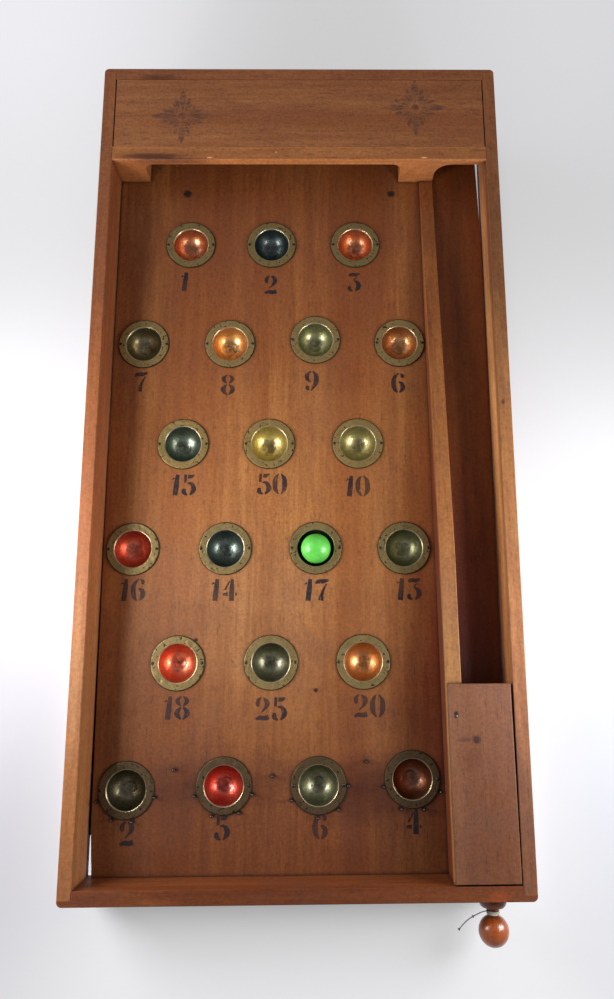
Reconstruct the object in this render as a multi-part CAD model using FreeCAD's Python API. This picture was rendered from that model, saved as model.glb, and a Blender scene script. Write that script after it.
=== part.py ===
import FreeCAD, Part
import math
import os

# Bagatelle board game: a shallow sloping wooden case, a playing board with spun metal cups that the
# ball is shot at, and a sprung plunger in a lane down the right side.
#
# The case is drawn in its own frame, then tilted as one onto its feet. In the case frame X runs to the
# right across the case, Y up the case from the front rail's outer face, and Z out of the case, with
# Z = 0 on the rim. Lengths are millimetres and angles are degrees.

Vector = FreeCAD.Vector
OUT = Vector(0, 0, 1)
UP_CASE = Vector(0, 1, 0)
ACROSS = Vector(1, 0, 0)

# ---------------------------------------------------------------- driving dimensions
# Stance on the table
SLOPE = 3.2                     # degrees that the case climbs towards its top end
FRONT_RIM_H = 61.0              # table to the rim at the front rail

# Case
CASE_W = 400.0
CASE_L = 794.0
FLOOR_DEPTH = 37.0              # rim to playing surface
BOARD_T = 8.0
SIDE_RAIL_T = 12.1
END_RAIL_T = 12.5
END_LIP_T = 5.5                 # lip of an end rail, over the side rails' end grain
CORNER_R = 4.5
ARRIS_R = 0.8                   # worn top edges

# Playing board: it has shrunk away from the side rails, most of all at two of its corners
BOARD_GAP = 0.8
FRONT_GAP = 5.1                 # left edge at the front rail
FRONT_GAP_MID = 2.7             # left edge where the steep part of the taper ends
FRONT_TAPER_L = 38.0
FRONT_TAPER_LONG_L = 308.0
TOP_GAP = 5.9                   # right edge at the top rail
TOP_TAPER_L = 170.0
END_GAP = 0.2                   # to the front and top rails

# Ball
BALL_D = 28.5
BALL_REST_GAP = 0.3             # ball to the bowl it lies in

# Lane and its divider, which ramps down to the floor at the top
LANE_W_FRONT = 42.6
LANE_W_TOP = 50.0
DIVIDER_T = 13.8
RAMP_L = 390.0
RAMP_END_H = 2.0

# Top bay: the arched fascia and the cover behind it
TOP_BAY_L = 73.4
FASCIA_T = 18.5
REBATE_W = 3.8                  # shelf in the fascia's back edge for the cover
TOP_COVER_T = 6.0
TOP_COVER_END_GAP = 1.0
TOP_COVER_GAP = 0.3
ARCH_HEADROOM = 1.0             # arch crown over the ball
LEFT_FOOT_W = 30.5
CENTRE_FOOT_W = 35.5
WIDE_ARCH_R = 9.0
SMALL_ARCH_R = 17.0
LEDGER_W = 6.0
LEDGER_T = 6.0
TURN_GUIDE_R = 64.0             # to the strip's outer face
TURN_GUIDE_T = 1.2
TURN_GUIDE_TAIL = 9.0
TURN_GUIDE_FLOOR_GAP = 0.6

# Plunger cover and the parts that carry it
COVER_T = 5.0
COVER_END_Y = 177.0
COVER_FRONT_GAP = 1.2
COVER_SIDE_GAP_FRONT = 0.6
COVER_SIDE_GAP_BACK = 2.2
COVER_INSET = 0.6               # from the divider's left face
CLEAT_W = 8.0
CLEAT_T = 8.0
GUIDE_Y = 96.0                  # front face of the plunger's inner guide block
GUIDE_T = 16.0

# Plunger
PLUNGER_H = 12.0                # rod's axis over the playing surface
ROD_D = 9.0
ROD_END_Y = 150.0
ROD_FIT = 0.08                  # radial running clearance
KNOB_D = 26.0
KNOB_REACH = 29.8               # rail face to the knob ball's centre
NECK_D = 9.4
COLLAR_D = 24.0                 # at the collar's swelling
COLLAR_FACE_D = 19.0            # at the rail
COLLAR_L = 11.5
COLLAR_GAP = 0.3                # collar to the rail it stops against
TENON_D = 5.5                   # rod's end, glued into the knob
TENON_L = 16.0
SPRING_WIRE_D = 1.3
SPRING_D = 14.4                 # mean coil diameter
SPRING_TURNS = 8
WIRE_SIDES = 6
SPRING_END_GAP = 0.3
WASHER_D = 19.0
WASHER_T = 1.2
WASHER_Y = 86.0
CROSS_PIN_D = 2.0
CROSS_PIN_L = 15.0
THREAD_D = 0.9
BINDING_TURNS = 4
BINDING_Y = -13.2               # end of the winding nearest the rail

# Cups: spun bowls that hang in the board under nailed brass rings
BOWL_R = 17.5
BOWL_WALL = 0.6
BOWL_DIMPLE_R = 3.6
BOWL_DIMPLE_D = 0.7
FLANGE_R = 20.8
HOLE_FIT = 0.4                  # bowl to the hole in the board
RING_R = 25.1
RING_BORE_FIT = 0.1
RING_T = 1.5
RING_NAIL_R = 22.8              # circle of the two nails, at nine and three o'clock

# Rows of cups
FIRST_ROW_GAP = 75.5            # front rail's inner face to the first row
LAST_ROW_GAP = 72.6             # last row to the fascia
SIDE_CUP_INSET = 29.4           # field's edges to the nearest cup centres
GRID_SHIFT = 1.5                # grid's centre, right of the field's centre

# Pins, nails and screws
PIN_D = 1.3
PIN_HEAD_D = 2.2
PIN_SUNK = 6.0                  # depth in the board
PIN_STAND = 6.8                 # height over the playing surface
PIN_CIRCLE_R = 26.8
NAIL_D = 1.3
NAIL_HEAD_D = 2.9
RING_NAIL_L = 7.0
EDGE_NAIL_D = 1.8
EDGE_NAIL_HEAD_D = 4.0
EDGE_NAIL_L = 32.0
COVER_NAIL_L = 22.0
FASTENER_FIT = 0.05
SCREW_D = 3.4
SCREW_HEAD_D = 5.6
SCREW_L = 27.0

# Turned feet
FRONT_FOOT_D = 24.0
FRONT_FOOT_SPAN = 340.0
FRONT_FOOT_Y = 27.0
SPIGOT_D = 9.0
SPIGOT_L = 5.0
REAR_FOOT_D = 25.0
REAR_FOOT_SPAN = 213.0
REAR_FOOT_SHIFT = -12.1         # midpoint of the pair, from the case's centre line
REAR_FOOT_GAP = 13.8            # their axes, in front of the fascia
FOOT_TIP_D = 14.0
FOOT_PLATE_T = 5.0              # rear foot, from its seat down: plate, cove, bead, swelling and toe
FOOT_COVE_L = 9.0
FOOT_COVE_D = 15.0
FOOT_BEAD_D = 17.8
FOOT_SWELL_D = 22.6
FOOT_SWELL_L = 11.0
FOOT_TOE_L = 6.0
FOOT_TOE_STEP = 1.6

# ---------------------------------------------------------------- derived places
CASE_H = FLOOR_DEPTH + BOARD_T
SIDE_IN = CASE_W / 2 - SIDE_RAIL_T          # inner face of either side rail
FRONT_IN = END_RAIL_T
TOP_IN = CASE_L - END_RAIL_T
FLOOR = -FLOOR_DEPTH
UNDERSIDE = -CASE_H
FASCIA_BACK = TOP_IN - TOP_BAY_L
FASCIA_Y = FASCIA_BACK - FASCIA_T           # front face of the fascia
ARCH_H = BALL_D + ARCH_HEADROOM
DIVIDER_H = FLOOR_DEPTH - COVER_T
RAMP_Y = FASCIA_Y - RAMP_L
PLUNGER_X = SIDE_IN - LANE_W_FRONT / 2
PLUNGER_Z = FLOOR + PLUNGER_H
KNOB_Y = -KNOB_REACH
SLOPE_SIN = math.sin(math.radians(SLOPE))
SLOPE_COS = math.cos(math.radians(SLOPE))

# The rows of cups from the front, and the cups of each row from the left: the node of its lacquer, and
# how far the cup was set off the grid, across and up, when the board was drilled.
CUP_ROWS = [
    [("cups_green_black", 1.5, -3.0), ("cups_red", 3.0, 0.0), ("cups_green_black", 2.5, -0.5),
     ("cups_copper", 1.5, 4.0)],
    [("cups_red", 1.0, 2.0), ("cups_green_black", 1.5, 2.0), ("cups_copper", 1.5, 2.0)],
    [("cups_red", -2.0, 2.5), ("cups_blue_black", 0.0, 2.5), ("cups_green_black", 0.5, 2.5),
     ("cups_olive", -1.0, 2.0)],
    [("cups_blue_black", -0.5, -0.5), ("cup_gold", -2.0, -0.5), ("cups_olive", -1.0, -0.5)],
    [("cups_olive", 0.0, -2.5), ("cups_copper", 0.5, -2.5), ("cups_olive", 0.5, 1.5),
     ("cups_copper", -0.5, -2.0)],
    [("cups_copper", 1.0, 0.0), ("cups_blue_black", -1.5, 0.0), ("cups_copper", -1.0, 0.0)],
]
LACQUERS = ["cups_copper", "cups_red", "cups_green_black", "cups_blue_black", "cups_olive", "cup_gold"]
BALL_ROW = 2
BALL_PLACE = 2
RING_ROWS = ["rings_front_row", "rings_second_row", "rings_third_row",
             "rings_fourth_row", "rings_fifth_row", "rings_top_row"]

# Angles of the pins that fence the lower side of each cup of the front row, and the lone pins between
# those cups: the cup to the left, then the way across and up from midway between the two cups.
FENCE_ANGLES = [(199, 245, 285, 348), (197, 249, 303, 345), (206, 268, 312, 360), (192, 246, 291, 337)]
LONE_PINS = [(0, -0.75, 16.0), (1, 1.25, 8.75), (2, 1.0, 18.25)]
EDGE_NAIL_INSET = 62.0          # first and last nail of a side, from the case's ends
EDGE_NAILS_A_SIDE = 5
EDGE_NAIL_END_SPAN = 230.0      # between the outer nails of an end
EDGE_NAIL_END_SHIFT = -20.0     # their middle, from the case's centre line
EDGE_NAILS_AN_END = 3
COVER_NAIL_Y = 149.7

# Route of the loose thread end, from the winding on the knob's neck.
THREAD_ROUTE = [(161.4, -13.9, -24.4), (157.5, -13.9, -22.6), (153.9, -15.4, -23.0), (149.4, -18.4, -25.3),
                (145.2, -22.1, -28.3), (141.6, -26.8, -31.8), (138.6, -32.0, -35.6)]
ARC_SHARE = 0.45                # share of the shorter run that an arc may use


# ---------------------------------------------------------------- helpers
def block(x0, x1, y0, y1, z0, z1):
    """A plain block between two corners."""
    return Part.makeBox(x1 - x0, y1 - y0, z1 - z0, Vector(x0, y0, z0))


def prism(outline, z0, z1):
    """A plate of the given plan outline, from z0 up to z1."""
    points = [Vector(x, y, z0) for x, y in outline]
    face = Part.Face(Part.makePolygon(points + points[:1]))
    return face.extrude(Vector(0, 0, z1 - z0))


def turned(edges, base, axis):
    """A solid turned about an axis. The edges close a profile in X and Z, with Z along the axis."""
    face = Part.Face(Part.Wire(Part.__sortEdges__(edges)))
    solid = face.revolve(Vector(0, 0, 0), OUT, 360)
    solid = Part.Solid(solid.Shells[0]) if solid.ShapeType != "Solid" else solid
    solid.Placement = FreeCAD.Placement(base, FreeCAD.Rotation(OUT, axis))
    return solid


def lines(points):
    """Straight profile edges through (radius, height) points."""
    ends = [Vector(r, 0, z) for r, z in points]
    return [Part.makeLine(a, b) for a, b in zip(ends, ends[1:])]


def arc(start, middle, end):
    """A profile arc through three (radius, height) points."""
    return Part.Arc(*[Vector(r, 0, z) for r, z in (start, middle, end)]).toShape()


def turned_lines(points, base, axis):
    """A turned solid whose profile is straight lines, closed back to its first point."""
    return turned(lines(points + points[:1]), base, axis)


def rod(radius, length, base, axis):
    """A round bar from base along axis."""
    return Part.makeCylinder(radius, length, base, axis)


def drilled(radius, length, bit, base, axis):
    """The drill hole for a fastener of that radius, with its fit, to a little past its point."""
    return Part.makeCylinder(radius + FASTENER_FIT, length + bit, base, axis)


def round_edges(solid, radius, test):
    """Rounds the edges for which the test on an edge's bounding box is true."""
    chosen = [edge for edge in solid.Edges if test(edge.BoundBox)]
    return solid.makeFillet(radius, chosen)


def join(solids):
    """A node of several separate solids."""
    return Part.makeCompound(solids)


# ---------------------------------------------------------------- layout of the board
def divider_right(y):
    """X of the divider's lane face at a distance up the case."""
    front = SIDE_IN - LANE_W_FRONT
    top = SIDE_IN - LANE_W_TOP
    return front + (top - front) * (y - FRONT_IN) / (FASCIA_Y - FRONT_IN)


def divider_left(y):
    """X of the divider's field face."""
    return divider_right(y) - DIVIDER_T


def cup_rows():
    """Plan positions of the cups: a list for each row from the front, from the left."""
    first = FRONT_IN + FIRST_ROW_GAP
    last = FASCIA_Y - LAST_ROW_GAP
    field_right = divider_left((first + last) / 2)
    pitch = (field_right + SIDE_IN - 2 * SIDE_CUP_INSET) / 3
    centre = (field_right - SIDE_IN) / 2 + GRID_SHIFT
    rows = []
    for row, cups in enumerate(CUP_ROWS):
        y = first + row * (last - first) / (len(CUP_ROWS) - 1)
        left = centre - pitch * (len(cups) - 1) / 2
        rows.append([(left + place * pitch + across, y + up) for place, (_, across, up) in enumerate(cups)])
    return rows


def cup_centres():
    """Plan positions of all the cups."""
    return [centre for row in cup_rows() for centre in row]


def pin_places():
    """Plan positions of the fence pins and the lone pins."""
    front = cup_rows()[0]
    places = []
    for (x, y), angles in zip(front, FENCE_ANGLES):
        for angle in angles:
            turn = math.radians(angle)
            places.append((x + PIN_CIRCLE_R * math.cos(turn), y + PIN_CIRCLE_R * math.sin(turn)))
    for cup, across, up in LONE_PINS:
        left, right = front[cup], front[cup + 1]
        places.append(((left[0] + right[0]) / 2 + across, (left[1] + right[1]) / 2 + up))
    return places


def spread(first, last, count):
    """Evenly spaced values from first to last."""
    return [first + (last - first) * k / (count - 1) for k in range(count)]


def rear_foot_places():
    """Plan positions of the two rear feet."""
    y = FASCIA_Y - REAR_FOOT_GAP
    return [(REAR_FOOT_SHIFT + side * REAR_FOOT_SPAN / 2, y) for side in (-1, 1)]


def front_foot_places():
    """Plan positions of the two front feet."""
    return [(side * FRONT_FOOT_SPAN / 2, FRONT_FOOT_Y) for side in (-1, 1)]


# ---------------------------------------------------------------- fasteners
def headed_nail(head_d, head_t, shank_d, length, base, axis):
    """A nail with a low domed head; base is where the head's underside sits."""
    head_r = head_d / 2
    shank_r = shank_d / 2
    dome_r = (head_r ** 2 + head_t ** 2) / (2 * head_t)
    half_turn = math.asin(head_r / dome_r) / 2
    middle = (dome_r * math.sin(half_turn), head_t - dome_r + dome_r * math.cos(half_turn))
    rest = lines([(0, head_t), (0, -length), (shank_r, -length), (shank_r, 0), (head_r, 0)])
    return turned([arc((head_r, 0), middle, (0, head_t))] + rest, base, axis)


def ring_nails():
    """Two nails through each ring, left and right of its bowl."""
    nails = []
    for x, y in cup_centres():
        for side in (-1, 1):
            base = Vector(x + side * RING_NAIL_R, y, FLOOR + RING_T)
            nails.append(headed_nail(NAIL_HEAD_D, 0.7, NAIL_D, RING_NAIL_L, base, OUT))
    return join(nails)


def guide_pins():
    """The brass brads that fence the front cups."""
    length = PIN_SUNK + PIN_STAND
    return join([headed_nail(PIN_HEAD_D, 0.6, PIN_D, length, Vector(x, y, FLOOR + PIN_STAND), OUT)
                 for x, y in pin_places()])


def edge_nail_axes():
    """Head seat and inward direction of each nail through a rail into the board's edge."""
    z = FLOOR - BOARD_T / 2
    side_seats = [(Vector(side * CASE_W / 2, y, z), Vector(side, 0, 0))
                  for y in spread(EDGE_NAIL_INSET, CASE_L - EDGE_NAIL_INSET, EDGE_NAILS_A_SIDE)
                  for side in (-1, 1)]
    outer = EDGE_NAIL_END_SPAN / 2
    end_seats = [(Vector(EDGE_NAIL_END_SHIFT + x, y, z), Vector(0, way, 0))
                 for x in spread(-outer, outer, EDGE_NAILS_AN_END) for y, way in ((0, -1), (CASE_L, 1))]
    return side_seats + end_seats


def edge_nails():
    """The nails that carry the board between the rails."""
    return join([headed_nail(EDGE_NAIL_HEAD_D, 0.5, EDGE_NAIL_D, EDGE_NAIL_L, seat, outward)
                 for seat, outward in edge_nail_axes()])


def edge_nail_holes():
    """Their holes, as one cutting tool."""
    return join([drilled(EDGE_NAIL_D / 2, EDGE_NAIL_L, 0.2, seat, -outward)
                 for seat, outward in edge_nail_axes()])


def cover_nail():
    """The nail through the plunger cover into the divider."""
    x = (divider_left(COVER_NAIL_Y) + divider_right(COVER_NAIL_Y)) / 2
    return headed_nail(NAIL_HEAD_D, 0.4, NAIL_D, COVER_NAIL_L, Vector(x, COVER_NAIL_Y, 0), OUT)


def cover_nail_hole():
    """Its hole in the cover and the divider."""
    x = (divider_left(COVER_NAIL_Y) + divider_right(COVER_NAIL_Y)) / 2
    return drilled(NAIL_D / 2, COVER_NAIL_L, 0.2, Vector(x, COVER_NAIL_Y, 0), -OUT)


def foot_screw(x, y, fit):
    """A countersunk wood screw down through the board into a rear foot, grown by the fit."""
    head_r = SCREW_HEAD_D / 2 + fit
    shank_r = SCREW_D / 2 + fit
    cone_d = (SCREW_HEAD_D - SCREW_D) / 2
    profile = [(0, 0), (head_r, 0), (shank_r, -cone_d), (shank_r, -SCREW_L + 4 - fit), (0, -SCREW_L - fit)]
    return turned_lines(profile, Vector(x, y, FLOOR), OUT)


def board_screws():
    """The two slotted screws over the rear feet."""
    screws = []
    for x, y in rear_foot_places():
        slot = block(x - SCREW_HEAD_D, x + SCREW_HEAD_D, y - 0.4, y + 0.4, FLOOR - 0.7, FLOOR + 1)
        screws.append(foot_screw(x, y, 0).cut(slot))
    return join(screws)


# ---------------------------------------------------------------- case
def side_rail(side):
    """A side rail: -1 for left, 1 for right."""
    inner = side * SIDE_IN
    outer = side * CASE_W / 2
    rail = block(min(inner, outer), max(inner, outer), END_LIP_T, CASE_L - END_LIP_T, UNDERSIDE, 0)
    rail = round_edges(rail, ARRIS_R, lambda b: b.ZMin > -1 and b.YLength > CASE_L / 2)
    return rail.cut(edge_nail_holes())


def end_rail(y_out, y_lip, y_in):
    """An end rail, with its ends rebated over the side rails."""
    half = CASE_W / 2
    outline = [(-half, y_out), (half, y_out), (half, y_lip), (SIDE_IN, y_lip), (SIDE_IN, y_in),
               (-SIDE_IN, y_in), (-SIDE_IN, y_lip), (-half, y_lip)]
    rail = prism(outline, UNDERSIDE, 0)
    corner = 0.01
    rail = round_edges(rail, CORNER_R, lambda b: b.XLength < corner and b.YLength < corner
                       and abs(b.YMin - y_out) < corner and abs(abs(b.XMin) - half) < corner)
    rail = round_edges(rail, ARRIS_R, lambda b: b.ZMin > -corner and b.XLength > CASE_W / 2
                       and abs(b.YMin - y_out) < corner)
    return rail.cut(edge_nail_holes())


def bottom_rail():
    """The front rail, bored for the plunger rod."""
    bore = rod(ROD_D / 2 + ROD_FIT, END_RAIL_T + 2, Vector(PLUNGER_X, -1, PLUNGER_Z), UP_CASE)
    return end_rail(0, END_LIP_T, END_RAIL_T).cut(bore)


def top_rail():
    """The rail at the high end."""
    return end_rail(CASE_L, CASE_L - END_LIP_T, TOP_IN)


def playing_board():
    """The board between the rails, bored for the cups and drilled for its pins."""
    left = -SIDE_IN + BOARD_GAP
    right = SIDE_IN - BOARD_GAP
    front = FRONT_IN + END_GAP
    top = TOP_IN - END_GAP
    outline = [(-SIDE_IN + FRONT_GAP, front), (right, front), (right, TOP_IN - TOP_TAPER_L),
               (SIDE_IN - TOP_GAP, top), (left, top), (left, FRONT_IN + FRONT_TAPER_LONG_L),
               (-SIDE_IN + FRONT_GAP_MID, FRONT_IN + FRONT_TAPER_L)]
    board = prism(outline, UNDERSIDE, FLOOR)
    hole_r = BOWL_R + BOWL_WALL + HOLE_FIT
    cutters = []
    for x, y in cup_centres():
        cutters.append(rod(hole_r, BOARD_T + 2, Vector(x, y, UNDERSIDE - 1), OUT))
        for side in (-1, 1):
            seat = Vector(x + side * RING_NAIL_R, y, FLOOR + RING_T)
            cutters.append(drilled(NAIL_D / 2, RING_NAIL_L, 0.2, seat, -OUT))
    for x, y in pin_places():
        cutters.append(drilled(PIN_D / 2, PIN_SUNK, 0.2, Vector(x, y, FLOOR), -OUT))
    for x, y in rear_foot_places():
        cutters.append(foot_screw(x, y, FASTENER_FIT))
    for x, y in front_foot_places():
        cutters.append(rod(SPIGOT_D / 2 + FASTENER_FIT, SPIGOT_L, Vector(x, y, UNDERSIDE), OUT))
    return board.cut(join(cutters)).cut(edge_nail_holes())


# ---------------------------------------------------------------- lane, fascia and covers
def lane_divider():
    """The strip between field and lane, level under the plunger cover and ramped towards the top."""
    side_view = [Vector(-CASE_W, FRONT_IN, FLOOR), Vector(-CASE_W, FASCIA_Y, FLOOR),
                 Vector(-CASE_W, FASCIA_Y, FLOOR + RAMP_END_H), Vector(-CASE_W, RAMP_Y, FLOOR + DIVIDER_H),
                 Vector(-CASE_W, FRONT_IN, FLOOR + DIVIDER_H)]
    profile = Part.Face(Part.makePolygon(side_view + side_view[:1])).extrude(Vector(2 * CASE_W, 0, 0))
    plan = prism([(divider_left(FRONT_IN), FRONT_IN), (divider_right(FRONT_IN), FRONT_IN),
                  (divider_right(FASCIA_Y), FASCIA_Y), (divider_left(FASCIA_Y), FASCIA_Y)], FLOOR, 0)
    strip = profile.common(plan)
    strip = round_edges(strip, ARRIS_R, lambda b: b.ZMin > FLOOR + 1 and b.YLength > RAMP_L / 3)
    return strip.cut(cover_nail_hole())


def plunger_cover():
    """The thin lid over the plunger, flush with the rim."""
    back = SIDE_IN - COVER_SIDE_GAP_BACK
    front = SIDE_IN - COVER_SIDE_GAP_FRONT
    front_y = FRONT_IN + COVER_FRONT_GAP
    lid = prism([(divider_left(front_y) + COVER_INSET, front_y), (front, front_y),
                 (back, COVER_END_Y), (divider_left(COVER_END_Y) + COVER_INSET, COVER_END_Y)], -COVER_T, 0)
    lid = round_edges(lid, ARRIS_R, lambda b: b.ZMin > -ARRIS_R / 2)
    return lid.cut(cover_nail_hole())


def cover_cleat():
    """The strip on the right rail that carries the plunger cover's other edge."""
    return block(SIDE_IN - CLEAT_W, SIDE_IN, FRONT_IN, COVER_END_Y - 2, -COVER_T - CLEAT_T, -COVER_T)


def plunger_guide():
    """The block across the lane that steadies the rod's inner end."""
    y0 = GUIDE_Y
    y1 = GUIDE_Y + GUIDE_T
    body = prism([(divider_right(y0), y0), (SIDE_IN, y0), (SIDE_IN, y1), (divider_right(y1), y1)],
                 FLOOR, -COVER_T - CLEAT_T)
    bore = rod(ROD_D / 2 + ROD_FIT, GUIDE_T + 2, Vector(PLUNGER_X, y0 - 1, PLUNGER_Z), UP_CASE)
    return body.cut(bore)


def arch_opening(x0, x1, left_r, right_r):
    """An arch cut through the fascia, open at the floor, with its two crown corners rounded."""
    crown = FLOOR + ARCH_H
    foot = FLOOR - 1
    y = FASCIA_Y - 1
    diagonal = 1 - math.sqrt(0.5)
    points = {
        "left_foot": Vector(x0, y, foot),
        "left_spring": Vector(x0, y, crown - left_r),
        "left_mid": Vector(x0 + left_r * diagonal, y, crown - left_r * diagonal),
        "left_crown": Vector(x0 + left_r, y, crown),
        "right_crown": Vector(x1 - right_r, y, crown),
        "right_mid": Vector(x1 - right_r * diagonal, y, crown - right_r * diagonal),
        "right_spring": Vector(x1, y, crown - right_r),
        "right_foot": Vector(x1, y, foot),
    }
    edges = [
        Part.makeLine(points["left_foot"], points["left_spring"]),
        Part.Arc(points["left_spring"], points["left_mid"], points["left_crown"]).toShape(),
        Part.makeLine(points["left_crown"], points["right_crown"]),
        Part.Arc(points["right_crown"], points["right_mid"], points["right_spring"]).toShape(),
        Part.makeLine(points["right_spring"], points["right_foot"]),
        Part.makeLine(points["right_foot"], points["left_foot"]),
    ]
    return Part.Face(Part.Wire(edges)).extrude(Vector(0, FASCIA_T + 2, 0))


def arch_fascia():
    """The arched board at the head of the field, rebated for the top cover."""
    fascia = block(-SIDE_IN, SIDE_IN, FASCIA_Y, FASCIA_BACK, FLOOR, 0)
    centre_foot_right = divider_right(FASCIA_Y)
    wide = arch_opening(-SIDE_IN + LEFT_FOOT_W, centre_foot_right - CENTRE_FOOT_W, WIDE_ARCH_R, WIDE_ARCH_R)
    past_rail = SIDE_IN + 2 * SMALL_ARCH_R
    small = arch_opening(centre_foot_right, past_rail, SMALL_ARCH_R, SMALL_ARCH_R)
    rebate = block(-CASE_W, CASE_W, FASCIA_BACK - REBATE_W, FASCIA_BACK + 1, -TOP_COVER_T, 1)
    fascia = fascia.cut(join([wide, small])).cut(rebate)
    return round_edges(fascia, 2 * ARRIS_R, lambda b: b.ZMin > -0.01 and b.XLength > CASE_W / 2
                       and abs(b.YMin - FASCIA_Y) < 0.01)


def top_cover():
    """The lid over the top bay, in the fascia's rebate and on the ledger."""
    end = SIDE_IN - TOP_COVER_END_GAP
    lid = block(-end, end, FASCIA_BACK - REBATE_W + TOP_COVER_GAP, TOP_IN - TOP_COVER_GAP, -TOP_COVER_T, 0)
    return round_edges(lid, ARRIS_R / 2, lambda b: b.ZMin > -0.01)


def top_cover_ledger():
    """The strip on the top rail under the cover's back edge."""
    return block(-SIDE_IN, SIDE_IN, TOP_IN - LEDGER_W, TOP_IN, -TOP_COVER_T - LEDGER_T, -TOP_COVER_T)


def turn_guide():
    """The bent metal strip that turns the ball from the lane across to the field."""
    outer = TURN_GUIDE_R
    inner = outer - TURN_GUIDE_T
    x_rail = SIDE_IN
    y_rail = TOP_IN
    cx = x_rail - outer
    cy = y_rail - outer
    diagonal = math.sqrt(0.5)
    z0 = FLOOR + TURN_GUIDE_FLOOR_GAP
    z1 = -TOP_COVER_T - LEDGER_T

    def point(x, y):
        return Vector(x, y, z0)

    def bend(radius, first, last):
        middle = point(cx + radius * diagonal, cy + radius * diagonal)
        return Part.Arc(first, middle, last).toShape()

    side_out = point(x_rail, cy)
    back_out = point(cx, y_rail)
    side_in = point(cx + inner, cy)
    back_in = point(cx, cy + inner)
    side_tail_out = point(x_rail, cy - TURN_GUIDE_TAIL)
    side_tail_in = point(cx + inner, cy - TURN_GUIDE_TAIL)
    back_tail_out = point(cx - TURN_GUIDE_TAIL, y_rail)
    back_tail_in = point(cx - TURN_GUIDE_TAIL, cy + inner)
    edges = [Part.makeLine(side_tail_out, side_out), bend(outer, side_out, back_out),
             Part.makeLine(back_out, back_tail_out), Part.makeLine(back_tail_out, back_tail_in),
             Part.makeLine(back_tail_in, back_in), bend(inner, back_in, side_in),
             Part.makeLine(side_in, side_tail_in), Part.makeLine(side_tail_in, side_tail_out)]
    return Part.Face(Part.Wire(edges)).extrude(Vector(0, 0, z1 - z0))


# ---------------------------------------------------------------- cups
def bowl(x, y):
    """A spun bowl with a flange under its ring and a dimple where the chuck held it."""
    outer_r = BOWL_R + BOWL_WALL
    dimple_edge = BOWL_DIMPLE_R + 0.6
    inner_edge_z = -math.sqrt(BOWL_R ** 2 - dimple_edge ** 2)
    outer_edge_z = -math.sqrt(outer_r ** 2 - (dimple_edge + BOWL_WALL) ** 2)
    dimple_z = -BOWL_R - BOWL_DIMPLE_D
    turn = math.sqrt(0.5)
    inside = arc((BOWL_R, 0), (BOWL_R * turn, -BOWL_R * turn), (dimple_edge, inner_edge_z))
    outside = arc((outer_r, 0), (outer_r * turn, -outer_r * turn), (dimple_edge + BOWL_WALL, outer_edge_z))
    rim = lines([(BOWL_R, 0), (BOWL_R, BOWL_WALL), (FLANGE_R, BOWL_WALL), (FLANGE_R, 0), (outer_r, 0)])
    dimple = lines([(dimple_edge, inner_edge_z), (BOWL_DIMPLE_R, dimple_z), (0, dimple_z),
                    (0, dimple_z - BOWL_WALL), (BOWL_DIMPLE_R + BOWL_WALL, dimple_z - BOWL_WALL),
                    (dimple_edge + BOWL_WALL, outer_edge_z)])
    return turned([inside, outside] + rim + dimple, Vector(x, y, FLOOR), OUT)


def ring(x, y):
    """A flat ring over the bowl's flange, stepped underneath to clear it."""
    bore = BOWL_R + RING_BORE_FIT
    step = FLANGE_R + RING_BORE_FIT
    profile = [(bore, BOWL_WALL), (step, BOWL_WALL), (step, 0), (RING_R, 0), (RING_R, RING_T - 0.4),
               (RING_R - 0.4, RING_T), (bore, RING_T)]
    plate = turned_lines(profile, Vector(x, y, FLOOR), OUT)
    holes = [drilled(NAIL_D / 2, RING_T + 1, 1, Vector(x + side * RING_NAIL_R, y, FLOOR - 1), OUT)
             for side in (-1, 1)]
    return plate.cut(join(holes))


def bowls(lacquer):
    """The bowls of one lacquer."""
    return join([bowl(*centre) for cups, centres in zip(CUP_ROWS, cup_rows())
                 for cup, centre in zip(cups, centres) if cup[0] == lacquer])


def rings_in_row(row):
    """The rings of one row of cups."""
    return join([ring(*centre) for centre in cup_rows()[row]])


def ball():
    """The ball, lying at the lowest point of its bowl once the case is tilted."""
    x, y = cup_rows()[BALL_ROW][BALL_PLACE]
    drop = BOWL_R - BALL_D / 2 - BALL_REST_GAP
    centre = Vector(x, y - drop * SLOPE_SIN, FLOOR - drop * SLOPE_COS)
    return Part.makeSphere(BALL_D / 2, centre)


# ---------------------------------------------------------------- plunger
def plunger_knob():
    """The turned pull knob: ball, neck and the swelling collar that stops against the rail."""
    knob_r = KNOB_D / 2
    neck_r = NECK_D / 2
    face_r = COLLAR_FACE_D / 2
    swell_r = COLLAR_D / 2
    face = -COLLAR_GAP
    swell = face - 0.5 * COLLAR_L
    shoulder = face - 0.86 * COLLAR_L
    shoulder_r = neck_r + 0.75 * (swell_r - neck_r)
    neck = face - COLLAR_L
    ball_start = KNOB_Y + math.sqrt(knob_r ** 2 - neck_r ** 2)
    cove_middle = (neck_r + 0.2 * (shoulder_r - neck_r), neck + 0.4 * (shoulder - neck))
    edges = lines([(0, KNOB_Y - knob_r), (0, face), (face_r, face)])
    edges.append(arc((face_r, face), (swell_r, swell), (shoulder_r, shoulder)))
    edges.append(arc((shoulder_r, shoulder), cove_middle, (neck_r, neck)))
    edges += lines([(neck_r, neck), (neck_r, ball_start)])
    edges.append(arc((neck_r, ball_start), (knob_r, KNOB_Y), (0, KNOB_Y - knob_r)))
    knob = turned(edges, Vector(PLUNGER_X, 0, PLUNGER_Z), UP_CASE)
    socket = rod(TENON_D / 2 + FASTENER_FIT, TENON_L + FASTENER_FIT,
                 Vector(PLUNGER_X, face - TENON_L - FASTENER_FIT, PLUNGER_Z), UP_CASE)
    return knob.cut(socket)


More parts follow.
